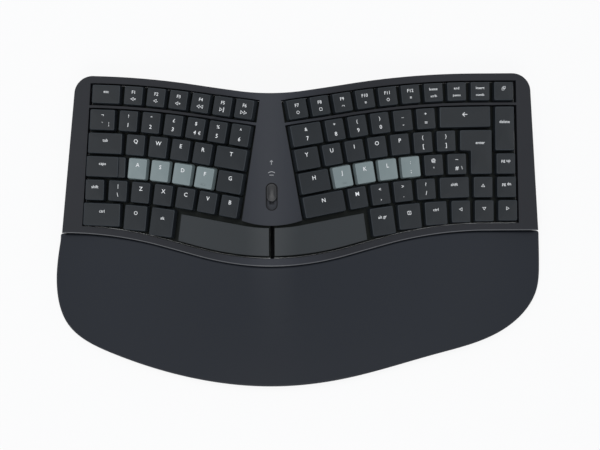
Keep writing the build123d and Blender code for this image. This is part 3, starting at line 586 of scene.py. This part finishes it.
def separate(triangles):
    """Groups of joined triangles: each corner takes its triangles' lowest label, until none change."""
    numbers = numbered(triangles)
    labels = np.arange(numbers.max() + 1)
    while True:
        lowest = labels[numbers].min(axis=1)
        spread = labels.copy()
        np.minimum.at(spread, numbers.ravel(), np.repeat(lowest, 3))
        if np.array_equal(spread, labels):
            break
        labels = spread
    owner = labels[numbers[:, 0]]
    return [triangles[owner == label] for label in np.unique(owner)]


def chained(edges):
    """The outer outline's edges, each starting where the last one ends, from the leftmost corner round."""
    order = [int(np.argmin(edges[:, 0, 0]))]
    while True:
        after = int(np.argmin(np.linalg.norm(edges[:, 0] - edges[order[-1], 1], axis=1)))
        if after == order[0] or len(order) == len(edges):
            return edges[order]
        order.append(after)


# The length of the shortest side of an outline, which is longer than any corner cut
LEAST_SIDE = 3.4 * MM


def sharp_corners(edges):
    """The corners where an outline's long straight sides would meet: its small corner cuts are left out."""
    edges = chained(edges)
    runs = edges[:, 1] - edges[:, 0]
    size = np.linalg.norm(runs, axis=1)
    long = (size > LEAST_SIDE) & (np.abs(runs).max(axis=1) > 0.97 * size)
    starts, ways = edges[long, 0], runs[long] / size[long][:, None]
    turned = np.abs(crossed(ways, np.roll(ways, 1, axis=0))) > 0.5
    starts, ways = starts[turned], ways[turned]
    other = np.roll(ways, -1, axis=0)
    reach = crossed(np.roll(starts, -1, axis=0) - starts, other) / crossed(ways, other)
    return np.roll(starts + ways * reach[:, None], 1, axis=0)


def rounded(corners, outward, radius, steps=5, side_steps=4):
    """A closed line round corners moved outward, with a quarter round of the radius at each.

    A corner moves by the distance times (n1 + n2) / (1 + n1 . n2), where n1 and n2 are its sides'
    normals. The quarter round is middle - radius * out cos t + radius * in sin t.
    """
    way = unit(np.roll(corners, -1, axis=0) - corners)
    before = np.roll(way, 1, axis=0)
    normal = np.stack([way[:, 1], -way[:, 0]], axis=1)
    last = np.roll(normal, 1, axis=0)
    corners = corners + outward * (normal + last) / (1 + (normal * last).sum(axis=1))[:, None]
    middles = corners - radius * before + radius * way
    t = np.radians(np.linspace(0, 90, steps))[None, :, None]
    arcs = middles[:, None] - radius * way[:, None] * np.cos(t) + radius * before[:, None] * np.sin(t)
    ends = np.roll(arcs[:, 0], -1, axis=0)
    share = np.linspace(0, 1, side_steps + 1)[None, 1:-1, None]
    sides = arcs[:, -1][:, None] * (1 - share) + ends[:, None] * share
    return np.concatenate([arcs, sides], axis=1).reshape(-1, 2)


# How much the levels of one flat top may differ, and the width that every cap has and no plunger
SAME_LEVEL = 0.05 * MM
LEAST_CAP = 9 * MM


def cap_face(triangles):
    """A cap's flat top: its middle, its directions across, along and up, its width, depth and corners.

    Up is the normal of the largest upward triangle. Across is the longest edge of that plane's outline
    that runs nearer to X than to Y.
    """
    normals = np.cross(triangles[:, 1] - triangles[:, 0], triangles[:, 2] - triangles[:, 0])
    areas = np.linalg.norm(normals, axis=1)
    normals = normals / np.maximum(areas, 1e-15)[:, None]
    best = np.argmax(np.where(normals[:, 2] > 0.5, areas, 0))
    up = normals[best]
    level = triangles[:, 0] @ up
    flat = triangles[(normals @ up > 0.9995) & (np.abs(level - level[best]) < SAME_LEVEL)]
    sides = [[0, 1], [1, 2], [2, 0]]
    edges = np.sort(numbered(flat)[:, sides].reshape(-1, 2), axis=1)
    _, first, count = np.unique(edges, axis=0, return_index=True, return_counts=True)
    rim = flat[:, sides].reshape(-1, 2, 3)[first[count == 1]]
    runs = rim[:, 1] - rim[:, 0]
    long = np.where(np.abs(runs[:, 0]) > np.abs(runs[:, 1]), np.linalg.norm(runs, axis=1), 0)
    across = runs[np.argmax(long)]
    across = unit(across) * np.sign(across[0])
    along = np.cross(up, across)
    places = flat.reshape(-1, 3)
    u, v = places @ across, places @ along
    centre = across * (u.min() + u.max()) / 2 + along * (v.min() + v.max()) / 2 + up * level[best]
    plan = (rim - centre) @ np.stack([across, along], axis=1)
    return centre, across, along, up, np.ptp(u), np.ptp(v), sharp_corners(plan)


def cap_faces(node):
    """The top faces of a node's caps, from the spine outwards."""
    caps = [group for group in separate(corners_of(node)) if np.ptp(group[:, :, 0]) > LEAST_CAP]
    return sorted((cap_face(group) for group in caps), key=lambda face: abs(face[0][0] - SPINE_X))


def placed(ring, depth, face):
    """A ring or a point in a cap's own plane, at a depth under its top, as places in the frame."""
    ring = np.array(ring)
    centre, across, along, up = face[:4]
    return centre + ring[..., :1] * across + ring[..., 1:] * along - depth * up


# A cap's lowest band has this height. Its round edge's rings, as shares of the edge's height, out and down.
CAP_FOOT = 0.5 * MM
ROUND_EDGE = ((0.7, 1), (0.62, 0.5), (0.36, 0.16), (0, 0))

# The rings of a cap's dish, as shares of the way from its middle to its rim
DISH_RINGS = (0.97, 0.85, 0.65, 0.4, 0.2)

# How much each ring of a cap's skin lies on an edge, from the roof's inside to the dish. The finish paints
# a highlight on these rings, most at the walls' foot in the gaps and less on the round top edge.
SKIN_HIGHLIGHTS = (0, 0, 0.3, 1, 0, 0, 0.1, 0.25, 0.25, 0, 0, 0, 0, 0)


def dish_middle(corners):
    """The place in a cap's plane that its rings shrink to."""
    front = corners[np.argsort(corners[:, 1])[:2]]
    return np.array([front[:, 0].mean(), (corners[:, 1].min() + corners[:, 1].max()) / 2])


def cap_skin(face, corners, sizes, drop=0.0, height=None):
    """A cap: walls that widen downwards, a round edge and a shallow dish.

    The dish lies under the rim by its depth times (1 - s^2), where s is the ring's share of the way from
    the middle to the rim. The middle lies over that of the front edge, so that a stepped outline shrinks
    inside itself.
    """
    height = height or sizes.cap_height
    edge, corner, wall = sizes.cap_edge, sizes.cap_corner, sizes.cap_wall
    flare = edge * ROUND_EDGE[0][0] + (height - edge) * np.tan(sizes.cap_lean)
    middle = dish_middle(corners)
    inner = rounded(corners, -wall, corner * 0.5)
    rings = [placed(middle + (inner - middle) * 0.5, drop + wall, face), placed(inner, drop + wall, face)]
    rings.append(placed(rounded(corners, flare - wall, corner * 0.5), drop + height, face))
    profile = [(flare, height), (flare - CAP_FOOT * np.tan(sizes.cap_lean), height - CAP_FOOT)]
    profile += [(edge * out, edge * deep) for out, deep in ROUND_EDGE]
    rings += [placed(rounded(corners, out, corner + out), drop + deep, face) for out, deep in profile]
    rim = rounded(corners, 0, corner)
    for share in DISH_RINGS:
        ring = middle + (rim - middle) * share
        rings.append(placed(ring, drop + sizes.cap_dish * (1 - share**2), face))
    under, over = placed(middle, drop + wall, face), placed(middle, drop + sizes.cap_dish, face)
    return (*loft(rings, start=under, end=over), np.append(np.repeat(SKIN_HIGHLIGHTS, len(rim)), (0, 0)))


def rectangle(half_across, half_along):
    """A rectangle's corners round its middle, from the front left one."""
    return np.array([(-1, -1), (1, -1), (1, 1), (-1, 1)]) * (half_across, half_along)


def post(face, middle, half_sizes, top, bottom, corner):
    """A closed post in a cap's own plane between two depths."""
    corners = rectangle(*half_sizes) + middle
    ring = rounded(corners, 0, corner, 4, 2)
    inner = rounded(corners, -corner * 0.5, corner * 0.6, 4, 2)
    rings = [placed(inner, bottom, face), placed(ring, bottom - corner * 0.5, face)]
    rings += [placed(ring, top + corner * 0.5, face), placed(inner, top, face)]
    return loft(rings, start=placed(middle, bottom, face), end=placed(middle, top, face))


# A capital's share of its font's size, and how much wider a print's lines are, as shares of its height
CAPITAL = 0.69
LETTER_WEIGHT = 0.010
WORD_WEIGHT = 0.005


def printed(text, height, thickness):
    """A word as a thin closed mesh, centred, whose capitals have the height."""
    curve = bpy.data.curves.new("print", "FONT")
    curve.body = text
    curve.size = height / CAPITAL
    curve.align_x = "CENTER"
    curve.extrude = thickness / 2
    curve.offset = (LETTER_WEIGHT if len(text) == 1 else WORD_WEIGHT) * height
    curve.resolution_u = 2
    holder = new_object("print", curve)
    mesh = bpy.data.meshes.new_from_object(holder)
    bpy.data.objects.remove(holder)
    bpy.data.curves.remove(curve)
    mesh.transform(Matrix.Translation((0, -height / 2, 0)))
    return mesh


def legend_marks(text):
    """The marks of one key, in the same order as the signs' marks."""
    if text in FUNCTION_SIGNS:
        return [(text, 0, 0.20, 0.82), (FUNCTION_SIGNS[text], 0, -0.20, 0.72)]
    if "\n" in text:
        first, second = text.split("\n")
        return [(first, 0, 0.20, 0.68), (second, 0, -0.20, 0.62)]
    if text in SIGN_MARKS:
        return SIGN_MARKS[text]
    if len(text) == 1:
        return [(text, 0, 0.20, 1)]
    if len(text) <= 3 and not text.isalpha():
        marks = [(text[0], 0, 0.25, 0.85), (text[1], 0, -0.20, 1)]
        if len(text) == 3:
            marks.append((text[2], 0.28, -0.20, 0.8))
        return marks
    return [(text.strip(), 0, 0.16, 0.76)]


def dish_depth(places, corners, dish):
    """How deep a cap's dish lies under its rim at places in the cap's plane: dish times (1 - s^2).

    Seen from the dish's middle m, s is n . (p - m) / n . (c - m) for the side that the place lies
    before, where n is that side's normal and c is its first corner.
    """
    middle = dish_middle(corners)
    start = corners - middle
    end = np.roll(start, -1, axis=0)
    side = end - start
    spot = (places - middle)[:, None]
    before_it = (crossed(start, spot) >= 0) & (crossed(spot, end) >= 0)
    share = np.where(before_it, crossed(spot, side) / crossed(start, side), 0).max(axis=1)
    return dish * (1 - np.minimum(share, 1) ** 2)


def laid_on(mesh, face, right, back, sizes):
    """Moves a flat mesh onto a cap: each point lies over the dish by its own height and the print's."""
    *_, width, depth, corners = face
    places = points_of(mesh)
    plan = places[:, :2] + (right * width, back * depth)
    height = places[:, 2] + sizes.legend_proud / 2 - dish_depth(plan, corners, sizes.cap_dish)
    mesh.vertices.foreach_set("co", placed(plan, -height[:, None], face).ravel())
    mesh.update()


def legend_mesh(node, sizes):
    """All the legends of a node's caps, each standing a little off its cap."""
    sheet = bmesh.new()
    for face, text in zip(cap_faces(node), LEGENDS[node]):
        for word, right, back, share in legend_marks(text):
            mesh = printed(word, sizes.letter_height * share, 2 * sizes.legend_proud)
            laid_on(mesh, face, right, back, sizes)
            sheet.from_mesh(mesh)
            bpy.data.meshes.remove(mesh)
    mesh = bpy.data.meshes.new("legends_" + node)
    sheet.to_mesh(mesh)
    sheet.free()
    return mesh


# The corners of a plunger, and the homing bar: its way behind the cap's front edge, half sizes, corners,
# and top and foot under the cap's rim
POST_CORNER = 0.3 * MM
BAR_BACK = 2.6 * MM
BAR_HALF = (1.8 * MM, 0.45 * MM)
BAR_CORNER = 0.25 * MM
BAR_TOP = -0.3 * MM
BAR_FOOT = 0.4 * MM


def cap_mesh(node, sizes):
    """A node's caps, each a hollow skin over its plunger, with any homing bar or ledge."""
    parts = []
    for face, text in zip(cap_faces(node), LEGENDS[node]):
        *_, depth, corners = face
        parts.append(cap_skin(face, corners, sizes))
        if text == "caps":
            full = corners.copy()
            full[corners[:, 0] > 0, 0] += sizes.ledge_width
            parts.append(cap_skin(face, full, sizes, sizes.ledge_drop, sizes.cap_height - sizes.ledge_drop))
        stem = (sizes.stem_half, sizes.stem_half)
        parts.append(post(face, (0, 0), stem, sizes.cap_wall, sizes.stem_depth, POST_CORNER))
        if text in "FJ":
            parts.append(post(face, (0, BAR_BACK - depth / 2), BAR_HALF, BAR_TOP, BAR_FOOT, BAR_CORNER))
    mesh = joined("caps_" + node, [part[:2] for part in parts])
    edges = [part[2] if len(part) > 2 else np.zeros(len(part[0])) for part in parts]
    # The edge attribute marks where the caps' finish paints its highlight
    mesh.attributes.new("edge", "FLOAT", "POINT").data.foreach_set("value", np.concatenate(edges))
    return mesh


def settings(context):
    """The panel's colours and sizes."""
    return context.scene.keyboard_colours, context.scene.keyboard_sizes


class KEYBOARD_OT_case(bpy.types.Operator):
    """Gives the shells, the legs and the hidden parts their finishes"""

    bl_idname = "keyboard.case"
    bl_label = "Case and inner parts"

    def execute(self, context):
        colours, sizes = settings(context)
        dark = tuple(0.8 * value for value in colours.case)
        looks = {
            "top_case bottom_case mode_switch_body": case_finish_and_spine_light(colours),
            "mode_switch_knob": knob_finish(colours),
            "palm_base": finish("palm_base_plastic", dark, 0.55),
            "support_plate_left support_plate_right":
                finish("plate_steel", (0.42, 0.43, 0.44), 0.38, grain=0.1, Metallic=1),
            "switch_housings_left switch_housings_right":
                finish("housing_plastic", (0.032, 0.034, 0.036), 0.7, grain=0.1, Specular_IOR_Level=0.1),
            "circuit_sheet_left circuit_sheet_right controller_board":
                finish("board_lacquer", (0.018, 0.021, 0.020), 0.6, grain=0.05, Specular_IOR_Level=0.1),
            "ribbon_cable": finish("ribbon_film", (0.45, 0.22, 0.05), 0.3, grain=0.05),
            "usb_socket": finish("socket_nickel", (0.6, 0.58, 0.55), 0.25, grain=0.05, Metallic=1),
            "battery_pack": finish("battery_wrap", (0.09, 0.10, 0.13), 0.35, grain=0.05),
            "rubber_feet leg_pad_left leg_pad_right":
                finish("foot_rubber", (0.012, 0.012, 0.013), 0.8, grain=0.35, scale=900),
            "tilt_leg_left tilt_leg_right": finish("leg_plastic", dark, 0.5, grain=0.3),
            "case_screws plate_screws":
                finish("screw_steel", (0.25, 0.25, 0.26), 0.35, grain=0.1, Metallic=1),
        }
        for nodes, material in looks.items():
            for node in nodes.split():
                paint(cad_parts[node].data, material)
        for node in ("top_case", "bottom_case", "tilt_leg_left", "tilt_leg_right"):
            soften(node, sizes.case_edge)
        return {"FINISHED"}


class KEYBOARD_OT_keys(bpy.types.Operator):
    """Makes the key caps, and gives the space bars their plastic and round edges"""

    bl_idname = "keyboard.keys"
    bl_label = "Key caps"

    def execute(self, context):
        colours, sizes = settings(context)
        # Painted highlight: the caps' marked edges and wall feet are painted lighter, the dark caps'
        # strongly
        dark = finish("key_plastic", colours.keys, 0.48, grain=0.25, change=0.22, patches=60,
                      highlight=4.5, Specular_IOR_Level=0.21)
        pale = finish("home_key_plastic", colours.home, 0.40, change=0.05, patches=60, highlight=0.2)
        for node in LEGENDS:
            home = node in HOME_NODES
            cap = add_piece("caps_" + node, cap_mesh(node, sizes), pale if home else dark,
                            node)
            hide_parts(node)
        bars = finish(
            "space_bar_plastic", colours.space_bars, 0.5, grain=0.25, patches=20, Specular_IOR_Level=0.3)
        for node in ("space_bar_left", "space_bar_right"):
            paint(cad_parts[node].data, bars)
            soften(node, sizes.key_edge, 2)
        return {"FINISHED"}


class KEYBOARD_OT_legends(bpy.types.Operator):
    """Prints the legends on the caps"""

    bl_idname = "keyboard.legends"
    bl_label = "Legends"

    def execute(self, context):
        colours, sizes = settings(context)
        ink = finish("legend_ink", colours.legend, 0.5, grain=0.02, change=0.02)
        for node in LEGENDS:
            add_piece("legends_" + node, legend_mesh(node, sizes), ink, node)
        return {"FINISHED"}


# The marks on the ridge: half an arrow, in shares of its height, an arc, whose middle lies in front of
# its line, and a bar
HALF_ARROW = np.array([(0, 0.5), (-0.36, 0.14), (-0.27, 0.05), (-0.07, 0.24), (-0.07, -0.5)])
ARC_MIDDLE = 1 * MM
ARC_RADII = (4.1 * MM, 3.6 * MM)
ARC_TURN = 42
BAR = np.array([(1.7, 1.5), (-1.7, 1.5), (-1.7, 1.0), (1.7, 1.0)]) * MM
MARK_LIFT = 0.08 * MM


def ridge_marks(sizes):
    """The marks behind the mode switch: an arrow, and an arc over a bar.

    Each is a closed line in plan, given a thickness and lifted onto the ridge. The arc lies between two
    circles round one middle.
    """
    arrow = np.vstack([HALF_ARROW, HALF_ARROW[:0:-1] * (-1, 1)]) * sizes.arrow_height
    arrow = arrow + (0, sizes.arrow_line - sizes.arc_line + ARC_MIDDLE)
    turns = np.radians(np.linspace(-ARC_TURN, ARC_TURN, 15))
    arc = np.vstack([
        np.stack([radius * np.sin(way), radius * np.cos(way)], axis=1)
        for radius, way in zip(ARC_RADII, (turns[::-1], turns))])
    half = 1.5 * sizes.legend_proud
    parts = []
    for line in (arrow, arc, BAR):
        plan = line + (SPINE_X, DATUM_Y + sizes.arc_line - ARC_MIDDLE)
        level = wave(plan[:, 0] - SPINE_X, *BEZEL_WAVE) + MARK_LIFT
        places, groups = loft([np.column_stack([plan, level + side]) for side in (-half, half)])
        under, over = np.arange(len(places)).reshape(2, -1)
        parts.append((places, [*groups, np.stack([under[::-1], over])]))
    mesh = joined("ridge_marks", parts)
    mesh.shade_flat()
    return mesh


# How nearly the ends of the knob and its slot are half circles
OVAL = 0.98

# The knob's round edge, its walls' depth, its hollow's rings, and its post's half sizes and top's depth
KNOB_EDGE = 0.4 * MM
KNOB_WALL = 2.4 * MM
KNOB_RINGS = (0.95, 0.8, 0.6, 0.4, 0.2)
KNOB_POST = (1.5 * MM, 2.5 * MM)
KNOB_POST_TOP = 2.2 * MM


def knob_mesh(sizes):
    """The mode switch's knob: an oval with a round edge and a hollow for the finger, on its own post.

    The hollow's depth is knob dish times (1 - s^2), where s is the ring's share of the way from the middle.
    """
    low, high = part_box("mode_switch_knob")
    centre = np.array([(low[0] + high[0]) / 2, (low[1] + high[1]) / 2, high[2]])
    face = (centre, *np.eye(3))
    half = (high[0] - low[0]) / 2
    corners = rectangle(half, (high[1] - low[1]) / 2)
    turn = 0.3 * KNOB_EDGE
    outer = [(0, KNOB_WALL), (0, KNOB_EDGE), (-turn, turn), (-KNOB_EDGE, 0)]
    rings = [placed(rounded(corners, out, half * OVAL + out, 9), deep, face) for out, deep in outer]
    rim = rounded(corners, -KNOB_EDGE, half * OVAL - KNOB_EDGE, 9)
    for share in KNOB_RINGS:
        rings.append(placed(rim * share, sizes.knob_dish * (1 - share**2), face))
    under, over = placed((0, 0), KNOB_WALL, face), placed((0, 0), sizes.knob_dish, face)
    stem = post(face, (0, 0), KNOB_POST, KNOB_POST_TOP, high[2] - low[2], POST_CORNER)
    return joined("switch_knob", [loft(rings, start=under, end=over), stem])


# The painted-shadow strip round the slot: its shares outside and inside the slot's wall, and its foot and
# top on the ridge
RIM_OUT = 0.6
RIM_IN = -0.4
RIM_FOOT = -0.25 * MM
RIM_TOP = 0.09 * MM


def slot_shadow_strip(sizes):
    """A thin dark strip of painted shadow round the mode switch's slot: an oval's strip, laid on the ridge.

    Its section is four corners: out and low, out and high, in and high, in and low.
    """
    low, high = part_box("mode_switch_knob")
    half = (high[0] - low[0]) / 2 + sizes.knob_gap
    long = sizes.slot_length / 2
    middle = np.array([(low[0] + high[0]) / 2, high[1] + sizes.knob_gap - long])
    corners = rectangle(half, long) + middle
    rings = []
    for share, level in ((RIM_OUT, RIM_FOOT), (RIM_OUT, RIM_TOP), (RIM_IN, RIM_TOP), (RIM_IN, RIM_FOOT)):
        aside = sizes.rim_line * share
        ring = rounded(corners, aside, half * OVAL + aside, 9, 9)
        height = wave(ring[:, 0] - SPINE_X, *BEZEL_WAVE) + level
        rings.append(np.column_stack([ring, height]))
    return joined("slot_shadow_strip", [loft(rings, closed=True)])


# How far inside the case's sides the bead ends, and how far its middle is set in, as a share of its radius
BEAD_END = 1.6 * MM
BEAD_SET = 0.8


def seam_bead(sizes):
    """The lip's rounded front edge: a circle carried along the seam at the bezel's height."""
    low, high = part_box("top_case")
    across = np.linspace(low[0] - SPINE_X + BEAD_END, high[0] - SPINE_X - BEAD_END, 240)
    radius = sizes.bead
    back = wave(across, *SEAM_WAVE) + radius * BEAD_SET
    path = np.stack([across, back, wave(across, *BEZEL_WAVE) - radius * BEAD_SET], axis=1)
    way = unit(np.gradient(path, axis=0))
    aside = unit(np.cross(way, [0, 0, 1.0]))
    over = np.cross(aside, way)
    turns = np.linspace(0, 2 * np.pi, 12, endpoint=False)[None, :, None]
    rings = path[:, None] + radius * (np.cos(turns) * over[:, None] + np.sin(turns) * aside[:, None])
    rings = rings + DATUM
    return joined("lip_edge", [loft(rings, start=rings[0].mean(axis=0), end=rings[-1].mean(axis=0))])


class KEYBOARD_OT_spine(bpy.types.Operator):
    """Makes the mode switch's knob, its slot's strip, the marks behind it and the lip's round edge"""

    bl_idname = "keyboard.spine"
    bl_label = "Mode switch and lip"

    def execute(self, context):
        colours, sizes = settings(context)
        ink = finish("mark_ink", colours.mark, 0.5, grain=0.02, change=0.02)
        add_piece("ridge_marks", ridge_marks(sizes), ink)
        knob = add_piece("switch_knob", knob_mesh(sizes), knob_finish(colours), "mode_switch_knob")
        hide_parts("mode_switch_knob")
        # Painted shadow: a near-black strip stands in for the shade in the gap round the slot
        gap_shadow = finish("slot_gap_painted_shadow", (0.004, 0.004, 0.005), 0.7, grain=0.1, Specular_IOR_Level=0.2)
        add_piece("slot_shadow_strip", slot_shadow_strip(sizes), gap_shadow)
        # Painted highlight: the lip's round edge gets a pale colour for the line of light along the seam
        shine = finish("lip_plastic_painted_highlight", colours.lip, 0.32, grain=0.1)
        add_piece("lip_edge", seam_bead(sizes), shine)
        return {"FINISHED"}


class KEYBOARD_OT_palm_rest(bpy.types.Operator):
    """Makes the soft palm cushion with its round rim"""

    bl_idname = "keyboard.palm_rest"
    bl_label = "Palm cushion"

    def execute(self, context):
        colours, sizes = settings(context)
        soft = finish("palm_soft_touch", colours.palm, 0.62, grain=0.3, change=0.10, scale=2600, patches=14,
                      Specular_IOR_Level=0.23, Sheen_Weight=0.01, Sheen_Roughness=0.5)
        cushion = add_piece("palm_cushion", palm_mesh(sizes), soft)
        wall = cushion.modifiers.new("skin", "SOLIDIFY")
        wall.thickness = sizes.palm_skin
        wall.offset = -1
        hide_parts("palm_cover", "palm_foam")
        return {"FINISHED"}


# The lamps' places and sizes, half the floor's side, and how much of the floor's look is its own glow
FRONT_LAMP = (0.05, -0.85, 1.05), (0.9, 0.5)
TOP_LAMP = (-0.15, 0.42, 1.45), (1.2, 1.2)
FLOOR_HALF = 4.0
FLOOR_GLOW = 0.86
FLOOR_COLOUR = (0.93, 0.94, 0.97, 1)
ROOM_COLOUR = (0.93, 0.96, 1, 1)
WHITE = (1, 1, 1, 1)


class KEYBOARD_OT_stage(bpy.types.Operator):
    """Sets the floor, the lamps, the room and the camera"""

    bl_idname = "keyboard.stage"
    bl_label = "Studio"

    def execute(self, context):
        studio = context.scene.keyboard_studio
        self.floor()
        self.lamp("front_lamp", *FRONT_LAMP, studio.front_lamp)
        self.lamp("top_lamp", *TOP_LAMP, studio.top_lamp)
        self.room(studio)
        self.camera(studio)
        context.scene.view_settings.view_transform = "Standard"
        return {"FINISHED"}

    def floor(self):
        """A pale floor that keeps the shadow, looks near white to the camera and is clear from below."""
        mesh = bpy.data.meshes.new("floor")
        corners = np.column_stack([rectangle(FLOOR_HALF, FLOOR_HALF), np.zeros(4)])
        mesh.from_pydata(corners.tolist(), [], [(0, 1, 2, 3)])
        material = bpy.data.materials.new("floor_paper")
        material.use_nodes = True
        tree = material.node_tree
        paper = fill(tree, tree.nodes["Principled BSDF"], Base_Color=FLOOR_COLOUR, Roughness=0.9)
        glow = make(tree, "Emission", Color=WHITE)
        above = mixed(tree, sum_of(tree, "MULTIPLY", seen(tree), FLOOR_GLOW), paper, glow)
        below = make(tree, "NewGeometry").outputs["Backfacing"]
        look = mixed(tree, below, above, make(tree, "BsdfTransparent"))
        fill(tree, tree.nodes["Material Output"], Surface=look.outputs[0])
        material.cycles.emission_sampling = "NONE"
        mesh.materials.append(material)
        new_object("floor", mesh)

    def lamp(self, name, place, size, power):
        """A soft box that looks at the middle of the object."""
        data = bpy.data.lights.new(name, "AREA")
        data.shape = "RECTANGLE"
        data.size, data.size_y = size
        data.energy = power
        lamp = new_object(name, data)
        lamp.location = place
        lamp.rotation_euler = (-Vector(place)).to_track_quat("-Z", "Y").to_euler()

    def room(self, studio):
        """An even room that the camera and mirror-like surfaces see as white."""
        world = bpy.data.worlds.new("room")
        bpy.context.scene.world = world
        world.use_nodes = True
        tree = world.node_tree
        tree.nodes.clear()
        even = make(tree, "Background", Color=ROOM_COLOUR, Strength=studio.room_light)
        both = mixed(tree, seen(tree), even, make(tree, "Background", Color=WHITE))
        make(tree, "OutputWorld", Surface=both.outputs[0])

    def camera(self, studio):
        """A camera that looks straight down."""
        data = bpy.data.cameras.new("camera")
        data.lens = studio.lens
        data.sensor_width = 36
        camera = new_object("camera", data)
        camera.location = (studio.camera_x, studio.camera_y, studio.camera_height)
        camera.rotation_euler = (0, 0, studio.camera_turn)
        bpy.context.scene.camera = camera


class KEYBOARD_PT_panel(bpy.types.Panel):
    """Lists the pieces and their sizes"""

    bl_idname = "KEYBOARD_PT_panel"
    bl_label = "Keyboard"
    bl_space_type = "VIEW_3D"
    bl_region_type = "UI"
    bl_category = "Keyboard"

    def draw(self, context):
        scene = context.scene
        for group in (scene.keyboard_colours, scene.keyboard_sizes, scene.keyboard_studio):
            box = self.layout.box()
            for name in group.__annotations__:
                box.prop(group, name)
        for operator in OPERATORS:
            self.layout.operator(operator.bl_idname)


OPERATORS = (
    KEYBOARD_OT_case,
    KEYBOARD_OT_keys,
    KEYBOARD_OT_legends,
    KEYBOARD_OT_spine,
    KEYBOARD_OT_palm_rest,
    KEYBOARD_OT_stage,
)
GROUPS = {
    "keyboard_colours": KeyboardColours,
    "keyboard_sizes": KeyboardSizes,
    "keyboard_studio": KeyboardStudio,
}
CLASSES = (*GROUPS.values(), *OPERATORS, KEYBOARD_PT_panel)


def register():
    for kind in CLASSES:
        bpy.utils.register_class(kind)
    for name, kind in GROUPS.items():
        setattr(bpy.types.Scene, name, PointerProperty(type=kind))


def unregister():
    for name in GROUPS:
        delattr(bpy.types.Scene, name)
    for kind in reversed(CLASSES):
        bpy.utils.unregister_class(kind)


def main():
    register()
    bpy.ops.keyboard.case()
    bpy.ops.keyboard.keys()
    bpy.ops.keyboard.legends()
    bpy.ops.keyboard.spine()
    bpy.ops.keyboard.palm_rest()
    bpy.ops.keyboard.stage()


if __name__ == "__main__":
    main()
